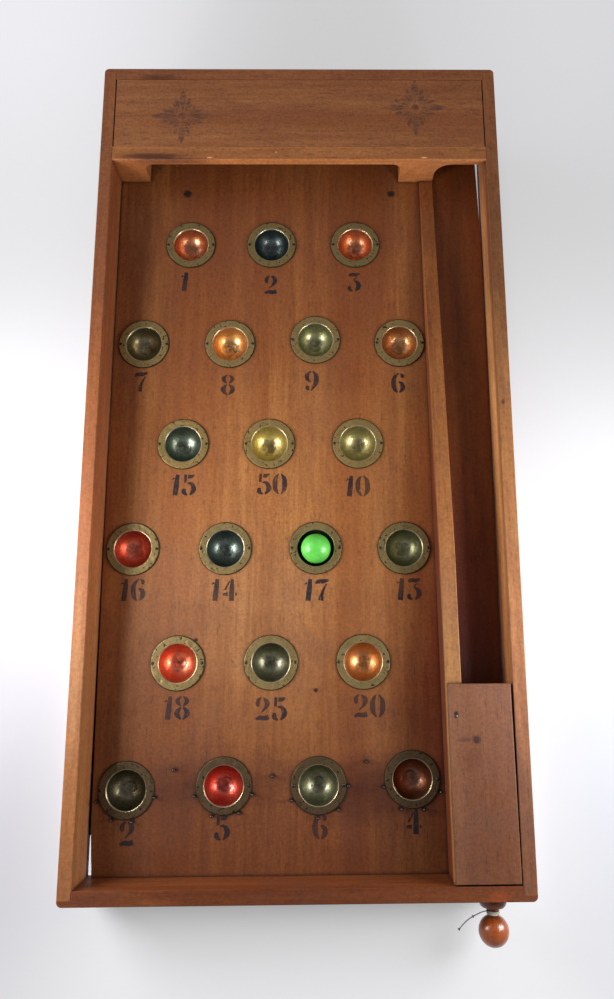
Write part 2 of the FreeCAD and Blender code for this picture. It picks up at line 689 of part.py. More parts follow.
def plunger_rod():
    """The dowel that strikes the ball, with a tenon in the knob and a cross hole for its pin."""
    start = -COLLAR_GAP - TENON_L
    shoulder = TENON_L + FASTENER_FIT
    radius = ROD_D / 2
    tip = 1.2
    length = ROD_END_Y - start
    profile = [(0, 0), (TENON_D / 2, 0), (TENON_D / 2, shoulder), (radius, shoulder), (radius, length - tip),
               (radius - tip, length), (0, length)]
    dowel = turned_lines(profile, Vector(PLUNGER_X, start, PLUNGER_Z), UP_CASE)
    return dowel.cut(rod(CROSS_PIN_D / 2 + FASTENER_FIT, 2 * ROD_D, cross_pin_base(2 * ROD_D), OUT))


def cross_pin_base(length):
    """Lower end of a bar of that length through the rod, just behind the washer."""
    y = WASHER_Y + WASHER_T + CROSS_PIN_D / 2 + 0.1
    return Vector(PLUNGER_X, y, PLUNGER_Z - length / 2)


def cross_pin():
    """The pin through the rod that holds the washer against the spring."""
    return rod(CROSS_PIN_D / 2, CROSS_PIN_L, cross_pin_base(CROSS_PIN_L), OUT)


def spring_washer():
    """The loose washer between spring and pin."""
    inner = ROD_D / 2 + 0.2
    profile = [(inner, 0), (WASHER_D / 2, 0), (WASHER_D / 2, WASHER_T), (inner, WASHER_T)]
    return turned_lines(profile, Vector(PLUNGER_X, WASHER_Y, PLUNGER_Z), UP_CASE)


def plunger_spring():
    """The coil spring between the front rail and the washer, drawn as set."""
    start = FRONT_IN + SPRING_END_GAP + SPRING_WIRE_D / 2
    end = WASHER_Y - SPRING_END_GAP - SPRING_WIRE_D / 2
    length = end - start
    coil_r = SPRING_D / 2
    helix = Part.makeHelix(length / SPRING_TURNS, length, coil_r)
    corners = [Vector(coil_r + SPRING_WIRE_D / 2 * math.cos(turn), 0, SPRING_WIRE_D / 2 * math.sin(turn))
               for turn in (2 * math.pi * k / WIRE_SIDES for k in range(WIRE_SIDES))]
    section = Part.makePolygon(corners + corners[:1])
    coil = Part.Wire(helix).makePipeShell([section], True, True)
    coil.Placement = FreeCAD.Placement(Vector(PLUNGER_X, start, PLUNGER_Z),
                                       FreeCAD.Rotation(OUT, UP_CASE))
    return coil


def thread_binding():
    """The winding of thread on the knob's neck, one bead per turn."""
    core_r = NECK_D / 2 + 0.1
    bead_r = core_r + THREAD_D
    valley_r = core_r + THREAD_D / 2
    points = [(core_r, 0)]
    for turn in range(BINDING_TURNS):
        start = -turn * THREAD_D
        points += [(valley_r, start), (bead_r, start - 0.3 * THREAD_D), (bead_r, start - 0.7 * THREAD_D)]
    points += [(valley_r, -BINDING_TURNS * THREAD_D), (core_r, -BINDING_TURNS * THREAD_D)]
    return turned_lines(points, Vector(PLUNGER_X, BINDING_Y, PLUNGER_Z), UP_CASE)


def thread_tail():
    """The loose end of the thread: straight runs joined by tangent arcs."""
    route = [Vector(*point) for point in THREAD_ROUTE]
    edges = []
    start = route[0]
    for before, corner, after in zip(route, route[1:], route[2:]):
        to_before = (before - corner).normalize()
        to_after = (after - corner).normalize()
        half_turn = (math.pi - to_before.getAngle(to_after)) / 2
        setback = ARC_SHARE * min((before - corner).Length, (after - corner).Length)
        radius = setback / math.tan(half_turn)
        first = corner + to_before * setback
        last = corner + to_after * setback
        inward = (to_before + to_after).normalize()
        middle = corner + inward * (radius / math.cos(half_turn) - radius)
        edges.append(Part.makeLine(start, first))
        edges.append(Part.Arc(first, middle, last).toShape())
        start = last
        print("thread arc radius %.1f" % radius)
    edges.append(Part.makeLine(start, route[-1]))
    path = Part.Wire(edges)
    section = Part.Wire(Part.makeCircle(THREAD_D / 2, route[0], route[1] - route[0]))
    tube = path.makePipeShell([section], True, False)
    wanted = math.pi * (THREAD_D / 2) ** 2 * path.Length
    print("thread length %.1f, volume over section times length %.3f" % (path.Length, tube.Volume / wanted))
    return tube


# ---------------------------------------------------------------- feet
def below_table():
    """Everything under the table, in the case frame."""
    slab = Part.makeBox(4 * CASE_W, 4 * CASE_L, CASE_L, Vector(-2 * CASE_W, -CASE_L, -CASE_L))
    slab.Placement = stance().inverse()
    return slab


def foot_length(y):
    """Underside of the case to the table, square to the case, on an axis at that place."""
    return (FRONT_RIM_H + y * SLOPE_SIN) / SLOPE_COS - CASE_H


def front_foot(x, y):
    """A squat turned bun with a spigot glued up into the board."""
    length = foot_length(y) + 2
    radius = FRONT_FOOT_D / 2
    neck_r = radius - 3.5
    tip_r = FOOT_TIP_D / 2
    spigot_r = SPIGOT_D / 2
    edges = lines([(0, -length), (0, SPIGOT_L - 0.2), (spigot_r, SPIGOT_L - 0.2), (spigot_r, 0),
                   (neck_r, 0), (neck_r, -2.5)])
    edges.append(arc((neck_r, -2.5), (radius, -2.5 - (length - 2.5) * 0.4), (tip_r, -length)))
    edges += lines([(tip_r, -length), (0, -length)])
    return turned(edges, Vector(x, y, UNDERSIDE), OUT).cut(below_table())


def rear_foot(x, y):
    """A tall turned foot: plate, cove, swelling and tapered toe, bored for its screw."""
    length = foot_length(y) + 2
    radius = REAR_FOOT_D / 2
    cove_r = FOOT_COVE_D / 2
    tip_r = FOOT_TIP_D / 2
    toe_r = tip_r + FOOT_TOE_STEP
    cove = -FOOT_PLATE_T - FOOT_COVE_L
    bead_r = FOOT_BEAD_D / 2
    bead = cove - (bead_r - cove_r)
    toe = -length + FOOT_TOE_L + FOOT_TOE_STEP
    cove_middle = (cove_r + 0.25 * (radius - cove_r), -FOOT_PLATE_T - FOOT_COVE_L / 3)
    edges = lines([(0, -length), (0, 0), (radius, 0), (radius, -FOOT_PLATE_T)])
    edges.append(arc((radius, -FOOT_PLATE_T), cove_middle, (cove_r, cove)))
    edges += lines([(cove_r, cove), (bead_r, bead)])
    edges.append(arc((bead_r, bead), (FOOT_SWELL_D / 2, bead - FOOT_SWELL_L), (toe_r, toe)))
    edges += lines([(toe_r, toe), (tip_r, toe - FOOT_TOE_STEP), (tip_r, -length), (0, -length)])
    leg = turned(edges, Vector(x, y, UNDERSIDE), OUT)
    return leg.cut(foot_screw(x, y, FASTENER_FIT)).cut(below_table())


# ---------------------------------------------------------------- assembly
def stance():
    """Placement of the case frame on the table, with the whole object's middle over the origin."""
    top_edge = CASE_L * SLOPE_COS + CASE_H * SLOPE_SIN
    knob_edge = KNOB_Y * SLOPE_COS - PLUNGER_Z * SLOPE_SIN - KNOB_D / 2
    middle = (top_edge + knob_edge) / 2
    return FreeCAD.Placement(Vector(0, -middle, FRONT_RIM_H), FreeCAD.Rotation(ACROSS, SLOPE))


def nodes():
    """Every node of the model in the case frame, by name."""
    made = {
        "left_rail": side_rail(-1),
        "right_rail": side_rail(1),
        "bottom_rail": bottom_rail(),
        "top_rail": top_rail(),
        "playing_board": playing_board(),
        "lane_divider": lane_divider(),
        "arch_fascia": arch_fascia(),
        "top_cover": top_cover(),
        "top_cover_ledger": top_cover_ledger(),
        "turn_guide": turn_guide(),
        "plunger_cover": plunger_cover(),
        "cover_cleat": cover_cleat(),
        "plunger_guide": plunger_guide(),
        "plunger_knob": plunger_knob(),
        "plunger_rod": plunger_rod(),
        "cross_pin": cross_pin(),
        "spring_washer": spring_washer(),
        "plunger_spring": plunger_spring(),
        "thread_binding": thread_binding(),
        "thread_tail": thread_tail(),
        "ball": ball(),
        "ring_nails": ring_nails(),
        "guide_pins": guide_pins(),
        "edge_nails": edge_nails(),
        "cover_nail": cover_nail(),
        "board_screws": board_screws(),
        "front_feet": join([front_foot(x, y) for x, y in front_foot_places()]),
        "rear_feet": join([rear_foot(x, y) for x, y in rear_foot_places()]),
    }
    for lacquer in LACQUERS:
        made[lacquer] = bowls(lacquer)
    for row, name in enumerate(RING_ROWS):
        made[name] = rings_in_row(row)
    return made


def main():
    os.makedirs("parts", exist_ok=True)
    for name, shape in nodes().items():
        shape.Placement = stance().multiply(shape.Placement)
        shape.exportStep("parts/%s.step" % name)


if __name__ == "__main__":
    main()
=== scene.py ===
"""Bagatelle board game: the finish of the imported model, with its varnished woods, lacquered cups, aged
brass rings, stencilled scores and the thread on the plunger knob, in a pale studio."""

import math
import random

import bpy
import numpy as np
from mathutils import Matrix, Vector, noise


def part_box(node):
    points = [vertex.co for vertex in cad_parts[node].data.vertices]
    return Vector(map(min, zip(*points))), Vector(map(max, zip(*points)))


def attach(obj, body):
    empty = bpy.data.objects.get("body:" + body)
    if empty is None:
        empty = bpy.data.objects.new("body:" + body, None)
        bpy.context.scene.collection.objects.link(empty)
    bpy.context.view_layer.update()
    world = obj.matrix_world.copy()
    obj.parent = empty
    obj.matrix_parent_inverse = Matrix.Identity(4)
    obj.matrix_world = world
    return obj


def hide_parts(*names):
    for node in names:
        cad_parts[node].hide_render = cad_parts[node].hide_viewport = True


bl_info = {
    "name": "Bagatelle Board Finish",
    "version": (1, 0, 0),
    "blender": (4, 5, 0),
    "location": "3D View > Sidebar > Bagatelle",
    "description": "Dresses a packed bagatelle board and sets it in a pale studio",
    "category": "Object",
}

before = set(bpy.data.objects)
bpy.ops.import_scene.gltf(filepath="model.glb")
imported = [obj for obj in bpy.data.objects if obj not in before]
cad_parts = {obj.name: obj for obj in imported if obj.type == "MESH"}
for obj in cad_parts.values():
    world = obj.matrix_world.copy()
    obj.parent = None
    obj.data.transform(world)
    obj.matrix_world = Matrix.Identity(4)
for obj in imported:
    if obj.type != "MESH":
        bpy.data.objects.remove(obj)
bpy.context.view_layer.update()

# ---- places, in metres
# The case is drawn lying level and tilted as one. In its own frame X runs across it, Y up it from the
# front rail's outer face, and Z out of it, with Z = 0 on the rim.
SLOPE = math.radians(3.2)
RIM_HEIGHT = 0.061  # of the front rail's outer edge over the table
END_LIP = 0.0055  # from the front rail's outer face to the side rails
FLOOR = -0.037  # playing surface
RIM_EDGE = Vector((0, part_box("left_rail")[0].y - END_LIP * math.cos(SLOPE), RIM_HEIGHT))
CASE = Matrix.Translation(RIM_EDGE) @ Matrix.Rotation(SLOPE, 4, "X")
INTO_CASE = CASE.inverted()

PIN_GAP = 0.002  # clear space between two fence pins
CUP_GAP = 0.020  # clear space between two cups, or two rows of them
BOWL_R = 0.0175
BOWL_WALL = 0.0006
FLANGE_R = 0.0208
DIMPLE_R = 0.0044
DIMPLE_D = 0.0005
DIMPLE_EDGE = 0.0024  # width of its soft edge
RING_BORE = 0.0176
RING_R = 0.0251
RING_T = 0.0015
RING_STEP = 0.0209
BOWL_STEPS = 96  # facets round a bowl
RING_STEPS = 144  # and round a ring

# Each row's scores from the left, with the middle of each from its cup's centre in millimetres.
SCORES = {
    "rings_front_row": (("2", 2.4, -36.7), ("5", -0.8, -35.6), ("6", 1.1, -35.2), ("4", -0.5, -36.4)),
    "rings_second_row": (("18", 0.7, -40.0), ("25", 0.5, -41.6), ("20", 5.0, -39.7)),
    "rings_third_row": (("16", 1.6, -38.6), ("14", -0.5, -39.2), ("17", 1.0, -39.8), ("13", 3.8, -39.0)),
    "rings_fourth_row": (("15", 2.1, -40.6), ("50", 3.0, -40.1), ("10", -0.3, -42.5)),
    "rings_fifth_row": (("7", -1.5, -39.6), ("8", -1.3, -43.0), ("9", -3.5, -43.1), ("6", -2.3, -42.0)),
    "rings_top_row": (("1", -5.1, -40.7), ("2", -0.4, -44.1), ("3", -1.7, -41.0)),
}
# Each lacquer's bowls, row by row from the front, with a gain of red, green and blue for each bowl.
LACQUERS = {
    "cups_copper": ("copper", ((0.40, 0.44, 0.45), (1.05, 1.50, 1.15), (1.20, 1.90, 1.45), (0.84, 1.20, 1.00),
                               (0.88, 1.00, 0.95), (0.98, 1.00, 0.88))),
    "cups_red": ("red", ((0.98, 1.12, 0.90), (1.32, 2.40, 1.60), (1.05, 1.80, 1.25))),
    "cups_green_black": ("green_black", ((0.68, 0.60, 0.52), (1.22, 1.25, 1.15), (1.10, 1.12, 1.06),
                                         (1, 1, 1))),
    "cups_blue_black": ("blue_black", ((1.40, 1.22, 0.94), (1.80, 1.50, 1.00), (0.78, 0.72, 0.64))),
    "cups_olive": ("olive", ((0.74, 0.78, 0.95), (1.32, 1.26, 1.30), (0.64, 0.55, 0.62), (0.94, 0.98, 1.12))),
    "cup_gold": ("gold", ((1.03, 0.98, 1.02),)),
}
AGEING = 1.38  # how much paler all the bowls are than their lacquers' colours


def srgb(red, green, blue):
    """A colour given on screen, as the linear numbers that shaders take."""
    def linear(value):
        part = value / 255
        return part / 12.92 if part <= 0.04045 else ((part + 0.055) / 1.055) ** 2.4
    return linear(red), linear(green), linear(blue)


def colour_property(name, description, *colour):
    return bpy.props.FloatVectorProperty(name=name, description=description, default=srgb(*colour),
                                         subtype="COLOR", size=3, min=0, max=1)


def share_property(name, description, default):
    return bpy.props.FloatProperty(name=name, description=description, default=default,
                                   subtype="FACTOR", min=0, max=1)


def measured_property(name, description, default, unit, low, high):
    return bpy.props.FloatProperty(name=name, description=description, default=default, unit=unit,
                                   min=low, max=high)


# ---- settings
class WoodFinish(bpy.types.PropertyGroup):
    """Colours of the varnished woods, and how pale their arrises are from wearing and from painted highlight.
    """

    board: colour_property("Board", "Varnished playing board", 147, 94, 49)
    rails: colour_property("Rails", "Varnished case rails", 154, 95, 54)
    fascia: colour_property("Fascia", "Arched board at the head of the field", 158, 98, 54)
    covers: colour_property("Covers", "Faded lids over the plunger and the top bay", 152, 95, 56)
    divider: colour_property("Divider", "Strip between the field and the lane", 148, 97, 52)
    inner: colour_property("Inner wood", "Bare wood out of sight", 176, 136, 96)
    feet: colour_property("Feet", "Dark turned feet", 92, 50, 34)
    knob: colour_property("Knob", "Glossy turned knob", 156, 82, 33)
    wear_and_highlight: share_property("Edge wear", "How far the arrises have worn pale", 0.55)


class CupFinish(bpy.types.PropertyGroup):
    """Colours of the lacquers, rings, nails and brads, and the rings' dents."""

    copper: colour_property("Copper", "Copper lacquer", 204, 122, 84)
    red: colour_property("Red", "Red lacquer", 196, 78, 68)
    green_black: colour_property("Green black", "Dark green lacquer", 122, 118, 98)
    blue_black: colour_property("Blue black", "Dark blue lacquer", 84, 98, 104)
    olive: colour_property("Olive", "Olive gold lacquer", 158, 152, 104)
    gold: colour_property("Gold", "Gold lacquer", 204, 190, 116)
    rings: colour_property("Rings", "Aged brass of the rings", 150, 128, 84)
    brads: colour_property("Brads", "Tarnished fence pins", 74, 66, 58)
    iron: colour_property("Iron", "Tarnished nails and screws", 84, 76, 70)
    dents: measured_property("Dent depth", "Depth of the knocks in the rings", 0.00035, "LENGTH", 0, 0.001)


class PrintFinish(bpy.types.PropertyGroup):
    """The stencilled scores and stars."""

    ink: colour_property("Score ink", "Ink of the scores", 30, 20, 24)
    faded: colour_property("Star ink", "Faded ink of the stars", 84, 50, 34)
    height: measured_property("Score height", "Height of a stencilled figure", 0.0205, "LENGTH", 0.01, 0.03)


class SmallFinish(bpy.types.PropertyGroup):
    """The ball and the thread."""

    ball: colour_property("Ball", "Green ball", 88, 188, 70)
    thread: colour_property("Thread", "Loose end of the thread", 150, 138, 122)
    winding: colour_property("Winding", "Thread wound on the neck", 226, 217, 198)


class StudioSettings(bpy.types.PropertyGroup):
    """Floor, lamps and camera."""

    floor: colour_property("Floor", "Pale floor", 222, 222, 227)
    lamp_power: measured_property("Lamp power", "Power of each soft box", 3.7, "POWER", 0, 200)
    panel_power: measured_property("Panel power", "Power of the wide panel behind", 5.0, "POWER", 0, 200)
    ambient: share_property("Ambient", "Light from all round", 0.46)
    paper_white: share_property("Paper white", "How far the paper is seen as plain white", 0.52)


# ---- shader building
class Shader:
    """Builds the nodes of one material or world, with coordinates that run along the tilted case."""

    def __init__(self, name, kind="materials"):
        self.owner = getattr(bpy.data, kind).new(name)
        self.owner.use_nodes = True
        self.tree = self.owner.node_tree
        self.place = None

    def feed(self, node, inputs):
        """Sets a node's inputs, or links those whose value is another node's output."""
        for key, value in inputs.items():
            socket = node.inputs[key]
            if isinstance(value, bpy.types.NodeSocket):
                self.tree.links.new(value, socket)
            elif socket.type == "RGBA":
                socket.default_value = (*value, 1)
            else:
                socket.default_value = value

    def node(self, kind, inputs=None, **settings):
        made = self.tree.nodes.new("ShaderNode" + kind)
        for key, value in settings.items():
            setattr(made, key, value)
        self.feed(made, inputs or {})
        return made

    def case_place(self):
        """Coordinates of a point in the case's own frame."""
        if self.place is None:
            point = self.node("TexCoord").outputs["Object"]
            self.place = self.node("Mapping", {"Vector": point, "Rotation": (-SLOPE, 0, 0)}).outputs["Vector"]
        return self.place

    def spread(self, stretch=(1, 1, 1), shift=(0, 0, 0)):
        """Those coordinates, squeezed along the grain and moved on to another part of the pattern."""
        inputs = {"Vector": self.case_place(), "Scale": stretch, "Location": shift}
        return self.node("Mapping", inputs).outputs["Vector"]

    def noise(self, place, scale, detail, roughness, distortion=0.0):
        inputs = {"Vector": place, "Scale": scale, "Detail": detail, "Roughness": roughness,
                  "Distortion": distortion}
        return self.node("TexNoise", inputs).outputs["Fac"]

    def step(self, value, low, high, to_low=0.0, to_high=1.0):
        """A smooth step of a value from one level to another."""
        inputs = {"Value": value, "From Min": low, "From Max": high, "To Min": to_low, "To Max": to_high}
        return self.node("MapRange", inputs, interpolation_type="SMOOTHSTEP").outputs["Result"]

    def math(self, operation, a, b=0.0):
        return self.node("Math", {0: a, 1: b}, operation=operation).outputs["Value"]

    def times(self, a, b):
        return self.math("MULTIPLY", a, b)

    def vectors(self, operation, a, b=(0, 0, 0)):
        return self.node("VectorMath", {0: a, 1: b}, operation=operation).outputs

    def height(self, source):
        """The upright part of a point."""
        return self.node("SeparateXYZ", {0: source}).outputs["Z"]

    def mix(self, share, a, b, blend="MIX"):
        """One colour over another, through the sockets that the node keeps for colours."""
        return self.node("Mix", {0: share, 6: a, 7: b}, data_type="RGBA", blend_type=blend).outputs[2]

    def over(self, colour, mask, share, top):
        """A colour with another over it, as far as a mask and a share say."""
        return self.mix(self.times(mask, share), colour, top)

    def spot(self, centre, reach, softness, raggedness):
        """One in a spot of the case's surface that reaches so far each way, and nought outside."""
        off = self.vectors("SUBTRACT", self.case_place(), case_texture_point(*centre))["Vector"]
        share = self.vectors("DIVIDE", off, reach)["Vector"]
        ragged = self.step(self.noise(share, 3.0, 4, 0.65), 0.0, 1.0, -raggedness, raggedness)
        edge = self.math("ADD", self.vectors("LENGTH", share)["Value"], ragged)
        return self.step(edge, 1 - softness, 1.0, 1.0, 0.0)

    def between(self, low, high):
        """Nought below one height in the case's frame, and one above another."""
        ends = [case_texture_point(0, 0, level).z for level in (low, high)]
        return self.step(self.height(self.case_place()), *ends)

    def stained_and_shaded(self, colour, marks, raggedness=0.3):
        """A colour with marks on it, stains and painted light and shade, each (centre, reach, softness, gain
        of red, green and blue).
        """
        for centre, reach, softness, gain in marks:
            colour = self.mix(self.spot(centre, reach, softness, raggedness), colour, gain, "MULTIPLY")
        return colour

    def edge_wear_and_highlight(self, radius):
        """One on sharp arrises and nought on flats, where the wood is worn pale and where a highlight is
        painted.
        """
        bevel = self.node("Bevel", {"Radius": radius}, samples=4).outputs["Normal"]
        flat = self.vectors("DOT_PRODUCT", bevel, self.node("NewGeometry").outputs["Normal"])["Value"]
        return self.step(flat, 0.80, 0.99, 1.0, 0.0)

    def joint_dirt_and_shade(self, reach):
        """Painted shade and dirt: one deep in joints and round things that stand on the surface, and nought
        in the open.
        """
        clear = self.node("AmbientOcclusion", {"Distance": reach}, samples=6).outputs["AO"]
        return self.step(clear, 0.40, 0.90, 1.0, 0.0)

    def relief(self, height, distance, strength):
        """A bump of that many metres."""
        inputs = {"Height": height, "Distance": distance, "Strength": strength}
        return self.node("Bump", inputs).outputs["Normal"]

    def finish(self, colour, roughness, metallic=0.0, coat=0.0, coat_roughness=0.2, normal=None,
               specular=0.5):
        inputs = {"Base Color": colour, "Roughness": roughness, "Metallic": metallic, "Coat Weight": coat,
                  "Coat Roughness": coat_roughness, "Specular IOR Level": specular}
        if normal is not None:
            inputs["Normal"] = normal
        self.feed(self.tree.nodes["Principled BSDF"], inputs)
        return self.owner


def case_texture_point(x, y, z):
    """Where the shader's case coordinates put a point of the case's frame."""
    return Matrix.Rotation(-SLOPE, 4, "X") @ (CASE @ Vector((x, y, z)))


PORE_DEPTH = 0.00012  # of the grain's relief


def darker(colour, share):
    return tuple(part * share for part in colour)


def warmer(colour, red, green, blue):
    return tuple(min(part * gain, 1) for part, gain in zip(colour, (red, green, blue)))


def squeezed(grain, share):
    """A stretch that makes a pattern long along the grain."""
    return tuple(share if axis == grain else 1 for axis in "xyz")


def wood_colour(s, tone, grain, shift, wear_and_highlight):
    """Bands, streaks, pores and blotches of one board, with painted shade and dirt in its joints and arrises
    pale from wear and painted highlight, and the height of its pores.
    """
    along = s.spread(squeezed(grain, 0.05), shift)
    plain = s.spread(shift=shift)
    bands = s.step(s.noise(along, 14, 3, 0.55, 0.8), 0.30, 0.70)
    streaks = s.step(s.noise(along, 130, 4, 0.65, 0.5), 0.30, 0.72)
    pores = s.step(s.noise(s.spread(squeezed(grain, 0.22), shift), 420, 3, 0.6), 0.54, 0.72)
    grit = s.step(s.noise(plain, 380, 3, 0.7), 0.25, 0.75, 0.80, 1.22)
    clouds = s.spread(squeezed("y" if grain == "y" else "x", 0.5), shift)
    blotches = s.step(s.noise(clouds, 24, 5, 0.6, 1.0), 0.42, 0.70)
    colour = s.mix(bands, warmer(tone, 0.84, 0.72, 0.64), warmer(tone, 1.24, 1.36, 1.40))
    colour = s.over(colour, s.math("SUBTRACT", 1.0, streaks), 0.62, warmer(tone, 0.64, 0.50, 0.42))
    colour = s.over(colour, blotches, 0.50, warmer(tone, 0.66, 0.58, 0.66))
    colour = s.over(colour, pores, 0.46, darker(tone, 0.30))
    colour = s.mix(1.0, colour, grit, "MULTIPLY")
    # Painted shade and dirt in joints and round what stands on the wood.
    colour = s.over(colour, s.joint_dirt_and_shade(0.005), 0.85, darker(tone, 0.16))
    height = s.math("SUBTRACT", s.times(streaks, 0.3), pores)
    # Pale arrises in patches: wear, and painted highlight.
    if wear_and_highlight:
        arris_wear_and_highlight = s.times(s.edge_wear_and_highlight(0.0012), s.step(s.noise(plain, 60, 3, 0.6), 0.35, 0.6))
        colour = s.over(colour, arris_wear_and_highlight, wear_and_highlight, warmer(tone, 1.75, 1.75, 1.55))
    return colour, height, blotches


def varnished(s, colour, height, blotches, roughness, coat):
    """A wood's finish, with the roughness of its plain parts and of its blotches."""
    return s.finish(colour, s.step(blotches, 0.0, 1.0, *roughness), coat=coat, coat_roughness=0.3,
                    normal=s.relief(height, PORE_DEPTH, 0.6), specular=0.3)


def wood(name, tone, grain, shift, wear_and_highlight, roughness=0.5, coat=0.06, marks=()):
    """Aged varnished wood, grain along one axis of the case."""
    s = Shader(name)
    colour, height, blotches = wood_colour(s, tone, grain, shift, wear_and_highlight)
    return varnished(s, s.stained_and_shaded(colour, marks), height, blotches, (roughness, roughness + 0.16), coat)


def metal(name, colour, roughness, grime, scale=160):
    """Tarnished metal with grime in patches."""
    s = Shader(name)
    patches = s.step(s.noise(s.spread(), scale, 4, 0.65), 0.4, 0.72)
    specks = s.step(s.noise(s.spread(), 7 * scale, 2, 0.5), 0.64, 0.74)
    tone = s.over(colour, patches, grime, darker(colour, 0.4))
    tone = s.over(tone, specks, 0.6, darker(colour, 0.12))
    gloss = s.step(patches, 0.0, 1.0, roughness, min(roughness + 0.25, 1))
    return s.finish(tone, gloss, metallic=0.9, normal=s.relief(patches, 0.00008, 0.5))


# ---- mesh building
def placed(name, data):
    """A new object of the scene."""
    made = bpy.data.objects.new(name, data)
    bpy.context.scene.collection.objects.link(made)
    return made


def new_piece(name, verts, faces, material, body="case", slot=None, smooth=True):
    """A mesh in the case's frame, put in place and made to ride."""
    mesh = bpy.data.meshes.new(name)
    mesh.from_pydata([CASE @ Vector(v) for v in verts], [], faces)
    mesh.validate()
    mesh.materials.append(material)
    if smooth:
        mesh.shade_smooth()
    made = placed(name, mesh)
    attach(made, body)
    return made


def case_points(node):
    """A node's points in the case's frame."""
    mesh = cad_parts[node].data
    points = np.zeros(len(mesh.vertices) * 3)
    mesh.vertices.foreach_get("co", points)
    turn = np.array(INTO_CASE)
    return points.reshape(-1, 3) @ turn[:3, :3].T + turn[:3, 3]


def clusters(node, gap=CUP_GAP):
    """Centres, in the case's frame, of the round pieces in a node: row by row, and from the left."""
    points = case_points(node)

    def split(group, axis):
        group = group[np.argsort(group[:, axis])]
        return np.split(group, np.where(np.diff(group[:, axis]) > gap)[0] + 1)

    pieces = [piece for row in split(points, 1) for piece in split(row, 0)]
    return [tuple(float(part) for part in (piece.min(0) + piece.max(0))[:2] / 2) for piece in pieces]


AXIS_R = 1e-7  # a turned point closer to the axis than this is on it


def lathe(profile, steps, centre, wobble=None):
    """Vertices and faces of a closed profile of (radius, height) points turned about an upright axis."""
    cx, cy = centre
    verts, faces, rings = [], [], []
    for radius, height in profile:
        if radius < AXIS_R:
            rings.append([len(verts)] * steps)
            verts.append((cx, cy, height))
            continue
        rings.append(range(len(verts), len(verts) + steps))
        for k in range(steps):
            angle = 2 * math.pi * k / steps
            dr, dz = wobble(angle, radius, height) if wobble else (0, 0)
            verts.append((cx + (radius + dr) * math.cos(angle), cy + (radius + dr) * math.sin(angle),
                          height + dz))
    for inner, outer in zip(rings, rings[1:] + rings[:1]):
        for k in range(steps):
            after = (k + 1) % steps
            corners = dict.fromkeys((inner[k], outer[k], outer[after], inner[after]))
            if len(corners) > 2:
                faces.append(tuple(corners))
    return verts, faces


def carried_frames(path):
    """Each point of a path with two directions across it that don't twist along it."""
    across = Vector((0.1, 0.2, 1))
    made = []
    for k, point in enumerate(path):
        along = (path[min(k + 1, len(path) - 1)] - path[max(k - 1, 0)]).normalized()
        across = (across - along * across.dot(along)).normalized()
        made.append((point, across, along.cross(across)))
    return made


def add_tube(verts, faces, path, radius):
    """Adds a round tube along a path, with closed ends."""
    sides = 7
    first = len(verts)
    for point, across, beside in carried_frames(path):
        for k in range(sides):
            angle = 2 * math.pi * k / sides
            verts.append(point + (across * math.cos(angle) + beside * math.sin(angle)) * radius)
    for row in range(len(path) - 1):
        for k in range(sides):
            a, b = first + row * sides + k, first + row * sides + (k + 1) % sides
            faces.append((a, b, b + sides, a + sides))
    faces.append(tuple(range(first + sides - 1, first - 1, -1)))
    faces.append(tuple(range(len(verts) - sides, len(verts))))


def bar_faces(first, stations):
    """Faces of a bar that has four corners at each station: on both sides one above and one below."""
    last = first + 4 * (stations - 1)
    faces = []
    for a in range(first, last, 4):
        b = a + 4
        faces += [(a, b, b + 2, a + 2), (a + 1, a + 3, b + 3, b + 1), (a, a + 1, b + 1, b),
                  (a + 2, b + 2, b + 3, a + 3)]
    return faces + [(first, first + 2, first + 3, first + 1), (last, last + 1, last + 3, last + 2)]


def twisted(path):
    """Three strands of cotton twisted round each other along a path."""
    verts, faces = [], []
    frames = carried_frames(path)
    for number in range(3):
        run = 0.0
        strand = []
        before = path[0]
        for point, across, beside in frames:
            run += (point - before).length
            before = point
            angle = 2 * math.pi * (number / 3 + run / THREAD_PITCH)
            strand.append(point + (across * math.cos(angle) + beside * math.sin(angle)) * STRAND_OFF)
        add_tube(verts, faces, strand, STRAND_R)
    return verts, faces


def paint(material, *nodes):
    """Gives CAD nodes their finish."""
    for node in nodes:
        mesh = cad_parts[node].data
        mesh.materials.clear()
        mesh.materials.append(material)


def varnish(node, *finish):
    """Gives a CAD node a wood of its own, with its marks."""
    paint(wood(node, *finish, marks=STAINS_LIGHT_AND_SHADE.get(node, ())), node)


# ---- case
class BAGATELLE_OT_rails(bpy.types.Operator):
    """Varnish the four rails of the case"""

    bl_idname = "bagatelle.rails"
    bl_label = "Rails"

    def execute(self, context):
        woods = context.scene.bagatelle_wood
        for index, (node, grain) in enumerate((("left_rail", "y"), ("right_rail", "y"),
                                               ("bottom_rail", "x"), ("top_rail", "x"))):
            varnish(node, woods.rails, grain, (0.31 * index, 0.7 * index, 0.13), woods.wear_and_highlight)
        return {"FINISHED"}


# A dark strip of painted shade in the gap beside the board's left edge: how far up the case, and where the
# board's edge is there.
GAP_SHADE_STRIP = ((0.046, -0.18740), (0.066, -0.18620), (0.088, -0.18555), (0.130, -0.18585), (0.200, -0.18636),
            (0.300, -0.18706), (0.400, -0.18720))
GAP_STEPS = 60
GAP_TOP = FLOOR - 0.0052
GAP_ROUGHNESS = 0.0012  # how far the strip's top goes up and down
GAP_LUMPS = 90  # how many in a metre
GAP_BOTTOM = FLOOR - 0.0078
RAIL_INSIDE = -0.1878  # the left rail's inner face


